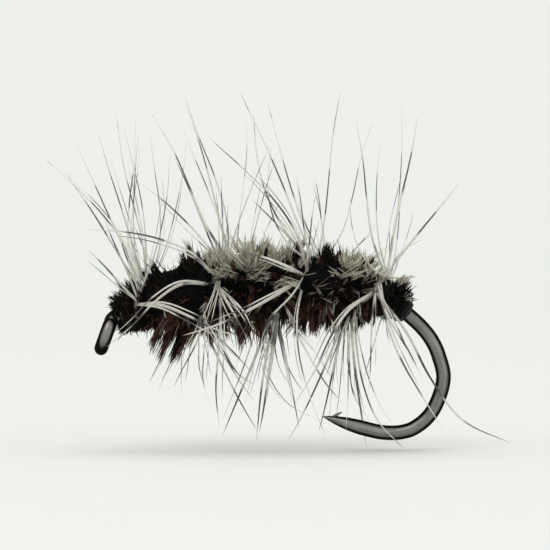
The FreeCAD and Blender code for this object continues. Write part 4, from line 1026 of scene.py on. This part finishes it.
def make_core(rng):
    """Matted inner part of the fringe, which no light passes through."""
    sides = 72
    angle = ring_angles(sides)
    rings = []
    for x in np.linspace(0.56, 7.84, 160):
        levels = [np.interp(x, CORE_X, row) for row in (CORE_SIDE, CORE_FLANK, CORE_TOP)]
        share = np.interp(np.cos(angle), [-1, 0, 0.5, 1], [CORE_BELOW] + levels)
        radius = envelope(x, angle) * share
        radius = radius * (1 - 0.26 * np.exp(-(stem_gap(x, angle) / 0.16) ** 2))
        lumps = 0.030 * np.sin(9 * angle + 5 * x) * np.sin(13 * x + 4 * angle)
        radius = radius + lumps + rng.normal(0, 0.020, sides)
        edge = min(1.0, (x - 0.50) / 0.30, (7.90 - x) / 0.30)
        radius = np.maximum(radius * (0.55 + 0.45 * edge), 0.32 if x < 0.8 else 0.36)
        rings.append(around(np.full(sides, x), radius, angle))
    strands = Strands()
    strands.skin(np.array(rings))
    strands.build_rigid("herl_matted_core", CORE, "herl_fringe")


def make_fringe():
    flue = Flue()
    for add in (add_body_locks, add_tufts, add_head_flue, add_rear_flue, add_wisps,
                add_loose_fibres):
        add(flue)
    for name, strands in zip(PARTS, flue.parts):
        strands.build_rigid("herl_flue_" + name, FLUE, "herl_fringe", "herl_fringe_" + name)
    make_core(flue.rng)


# --------------------------------------------------------------- hackle barbs
def barb_lines(rng, first, side, extra, apart):
    """A barb and the finer ones beside it: points, thickness factor, share of the length."""
    lines = [(first, 1.0, 1.0)]
    if rng.rand() < extra and first[-1][0] < 9.3:
        shift = rng.normal(0, 1, 3) * np.array([0.26, 0.34, 0.10]) * apart
        beside = np.cross(first[-1] - first[0], Y)
        gap = 0.125 if side == "left" else 0.11
        beside *= rng.choice([-1, 1]) * gap / np.linalg.norm(beside)
        second = first.copy()
        for i in range(len(second)):
            second[i] = (second[i] + shift * (i / (len(second) - 1.0)) ** 1.5
                         + beside * min(1.0, i / 1.5) - Y * 0.01)
        lines.append((second, rng.uniform(0.48, 0.66), rng.uniform(0.72, 0.93)))
        if side == "left" and rng.rand() < 0.22:
            third = 2 * first - second
            third[0] = first[0]
            lines.append((third, rng.uniform(0.5, 0.7), rng.uniform(0.66, 0.88)))
    return lines


def make_barb_fan(fan, rows, rng, bend):
    label = fan.removeprefix("hackle_")
    turn, side = label.split("_")
    thickness, extra, shade, apart = FAN_SIDES[side]
    if label == "1_top":
        extra = FIRST_TOP_EXTRA
    shade += FAN_SHADE.get(label, 0.0)
    strands = Strands("s", "ph", "dk", "rnd")
    for row in rows.strip().splitlines():
        width, dark, *coords = map(float, row.split())
        first = np.array(coords).reshape(-1, 3)
        for points, slim, reach in barb_lines(rng, first, side, extra, apart):
            direction = points[1] - points[0]
            direction /= np.linalg.norm(direction)
            points[0] = points[0] - direction * 0.07     # sink the root into the stem
            path = smooth_path(points, 0.14)
            path = path[:max(6, int(len(path) * reach))]
            length = arc_length(path)
            f = length / length[-1]
            wave = rng.uniform(-1, 1, 3) * 0.03
            path = path + np.outer(np.sin(f * math.pi * rng.uniform(1.5, 2.6)) * f, wave)
            base = 0.040 * min(max(width, 0.85), 1.5) * thickness * slim
            radius = base * np.interp(f, [0, 0.06, 0.35, 0.75, 0.93, 1.0],
                                      [0.85, 1.0, 0.86, 0.50, 0.26, 0.06])
            tone, own = rng.uniform(-0.35, 0.35), rng.rand()
            nearest = np.linalg.norm(path[:, None] - bend[None], axis=2).min()
            if slim < 1.0 and nearest < 0.30:
                continue        # a finer barb never runs into the wire of the bend
            strands.tube(path, radius, 8, flat=0.55, side_dir=(0.2, 0.1, 1.0), s=length,
                         ph=BAR_PHASE[turn] + tone, dk=min(1.0, max(0.0, dark + shade)),
                         rnd=own)
    ob = strands.build("barbs_" + label, BARB)
    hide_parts(fan)
    joints = frame["record"]["behaviour"]["joints"]
    pivot = Vector(next(joint for joint in joints if joint["child"] == fan)["pos_m"])
    centre = wire_at(pivot.x / MM)[0][0] * MM
    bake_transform(ob)


def make_barbs():
    bend = smooth_path(SHANK[-3:] + BEND, 0.05)
    for i, (fan, rows) in enumerate(BARBS.items()):
        make_barb_fan(fan, rows, np.random.RandomState(100 + i), bend)


# ------------------------------------------- floor, light, camera (in metres)
def make_floor():
    """Floor and backdrop as one seamless sweep."""
    half_width, front, sweep_start, sweep_radius, top = 1.2, -0.60, 0.10, 0.30, 1.2
    floor_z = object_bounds()[0].z - 0.00002
    profile = [(front, 0.0), (sweep_start, 0.0)]
    for i in range(1, 25):
        angle = math.pi / 2 * i / 24
        profile.append((sweep_start + sweep_radius * math.sin(angle),
                        sweep_radius * (1 - math.cos(angle))))
    profile.append((sweep_start + sweep_radius, top))
    verts = [(x, y, floor_z + z) for y, z in profile for x in (-half_width, half_width)]
    faces = [(2 * i, 2 * i + 1, 2 * i + 3, 2 * i + 2) for i in range(len(profile) - 1)]
    mesh = bpy.data.meshes.new("floor")
    mesh.from_pydata(verts, [], faces)
    for polygon in mesh.polygons:
        polygon.use_smooth = True
    floor = add_object("floor", mesh)
    mesh.materials.append(floor_material())


def make_world():
    world = bpy.data.worlds.new("studio")
    bpy.context.scene.world = world
    world.use_nodes = True
    background = world.node_tree.nodes["Background"]
    background.inputs["Color"].default_value = (0.975, 0.978, 0.965, 1)
    background.inputs["Strength"].default_value = 0.90


def aim_along(ob, direction):
    ob.rotation_mode = "QUATERNION"
    ob.rotation_quaternion = direction.to_track_quat("-Z", "Y")


def make_lamp(name, offset, size, power, colour=(1, 1, 1)):
    """Area lamp at an offset from the middle of the fly, aimed at it."""
    middle = (CAD_LO + CAD_HI) / 2
    place = [centre + step for centre, step in zip(middle, offset)]
    data = bpy.data.lights.new(name, "AREA")
    data.shape, data.size, data.size_y = "RECTANGLE", size[0], size[1]
    data.energy, data.color = power, colour
    lamp = add_object(name, data)
    lamp.location = place
    aim_along(lamp, middle - Vector(place))


def make_camera():
    """Long lens on the fly's left side, slightly raised."""
    view_width = 0.0152
    elevation = math.radians(2.0)
    target = Vector((0.00465, 0.0, 0.00160))
    data = bpy.data.cameras.new("camera")
    data.lens, data.sensor_width = 400.0, 36.0
    data.clip_start, data.clip_end = 0.001, 20.0
    distance = view_width * data.lens / data.sensor_width
    back = Vector((0, -math.cos(elevation), math.sin(elevation)))
    camera = add_object("camera", data)
    camera.location = target + back * distance
    aim_along(camera, -back)
    bpy.context.scene.camera = camera


make_hook()
make_threads()
make_varnish()
make_fringe()
make_barbs()
dress(BED, "thread_base")
dress(QUILL, "herl_quill_1", "herl_quill_2", "herl_quill_3", "herl_butts", "herl_tips")
dress(STEM, "hackle_stem", "hackle_butt", "hackle_tip")

make_floor()
make_world()
make_lamp("key", offset=(-0.16, -0.34, 0.36), size=(0.26, 0.20), power=0.42,
          colour=(1.0, 0.985, 0.96))
make_lamp("fill", offset=(0.34, -0.34, 0.10), size=(0.2, 0.26), power=0.14,
          colour=(0.96, 0.98, 1.0))
make_lamp("top", offset=(0.04, 0.05, 0.45), size=(0.3, 0.3), power=0.30)
make_camera()
bpy.context.scene.view_settings.view_transform = "Standard"
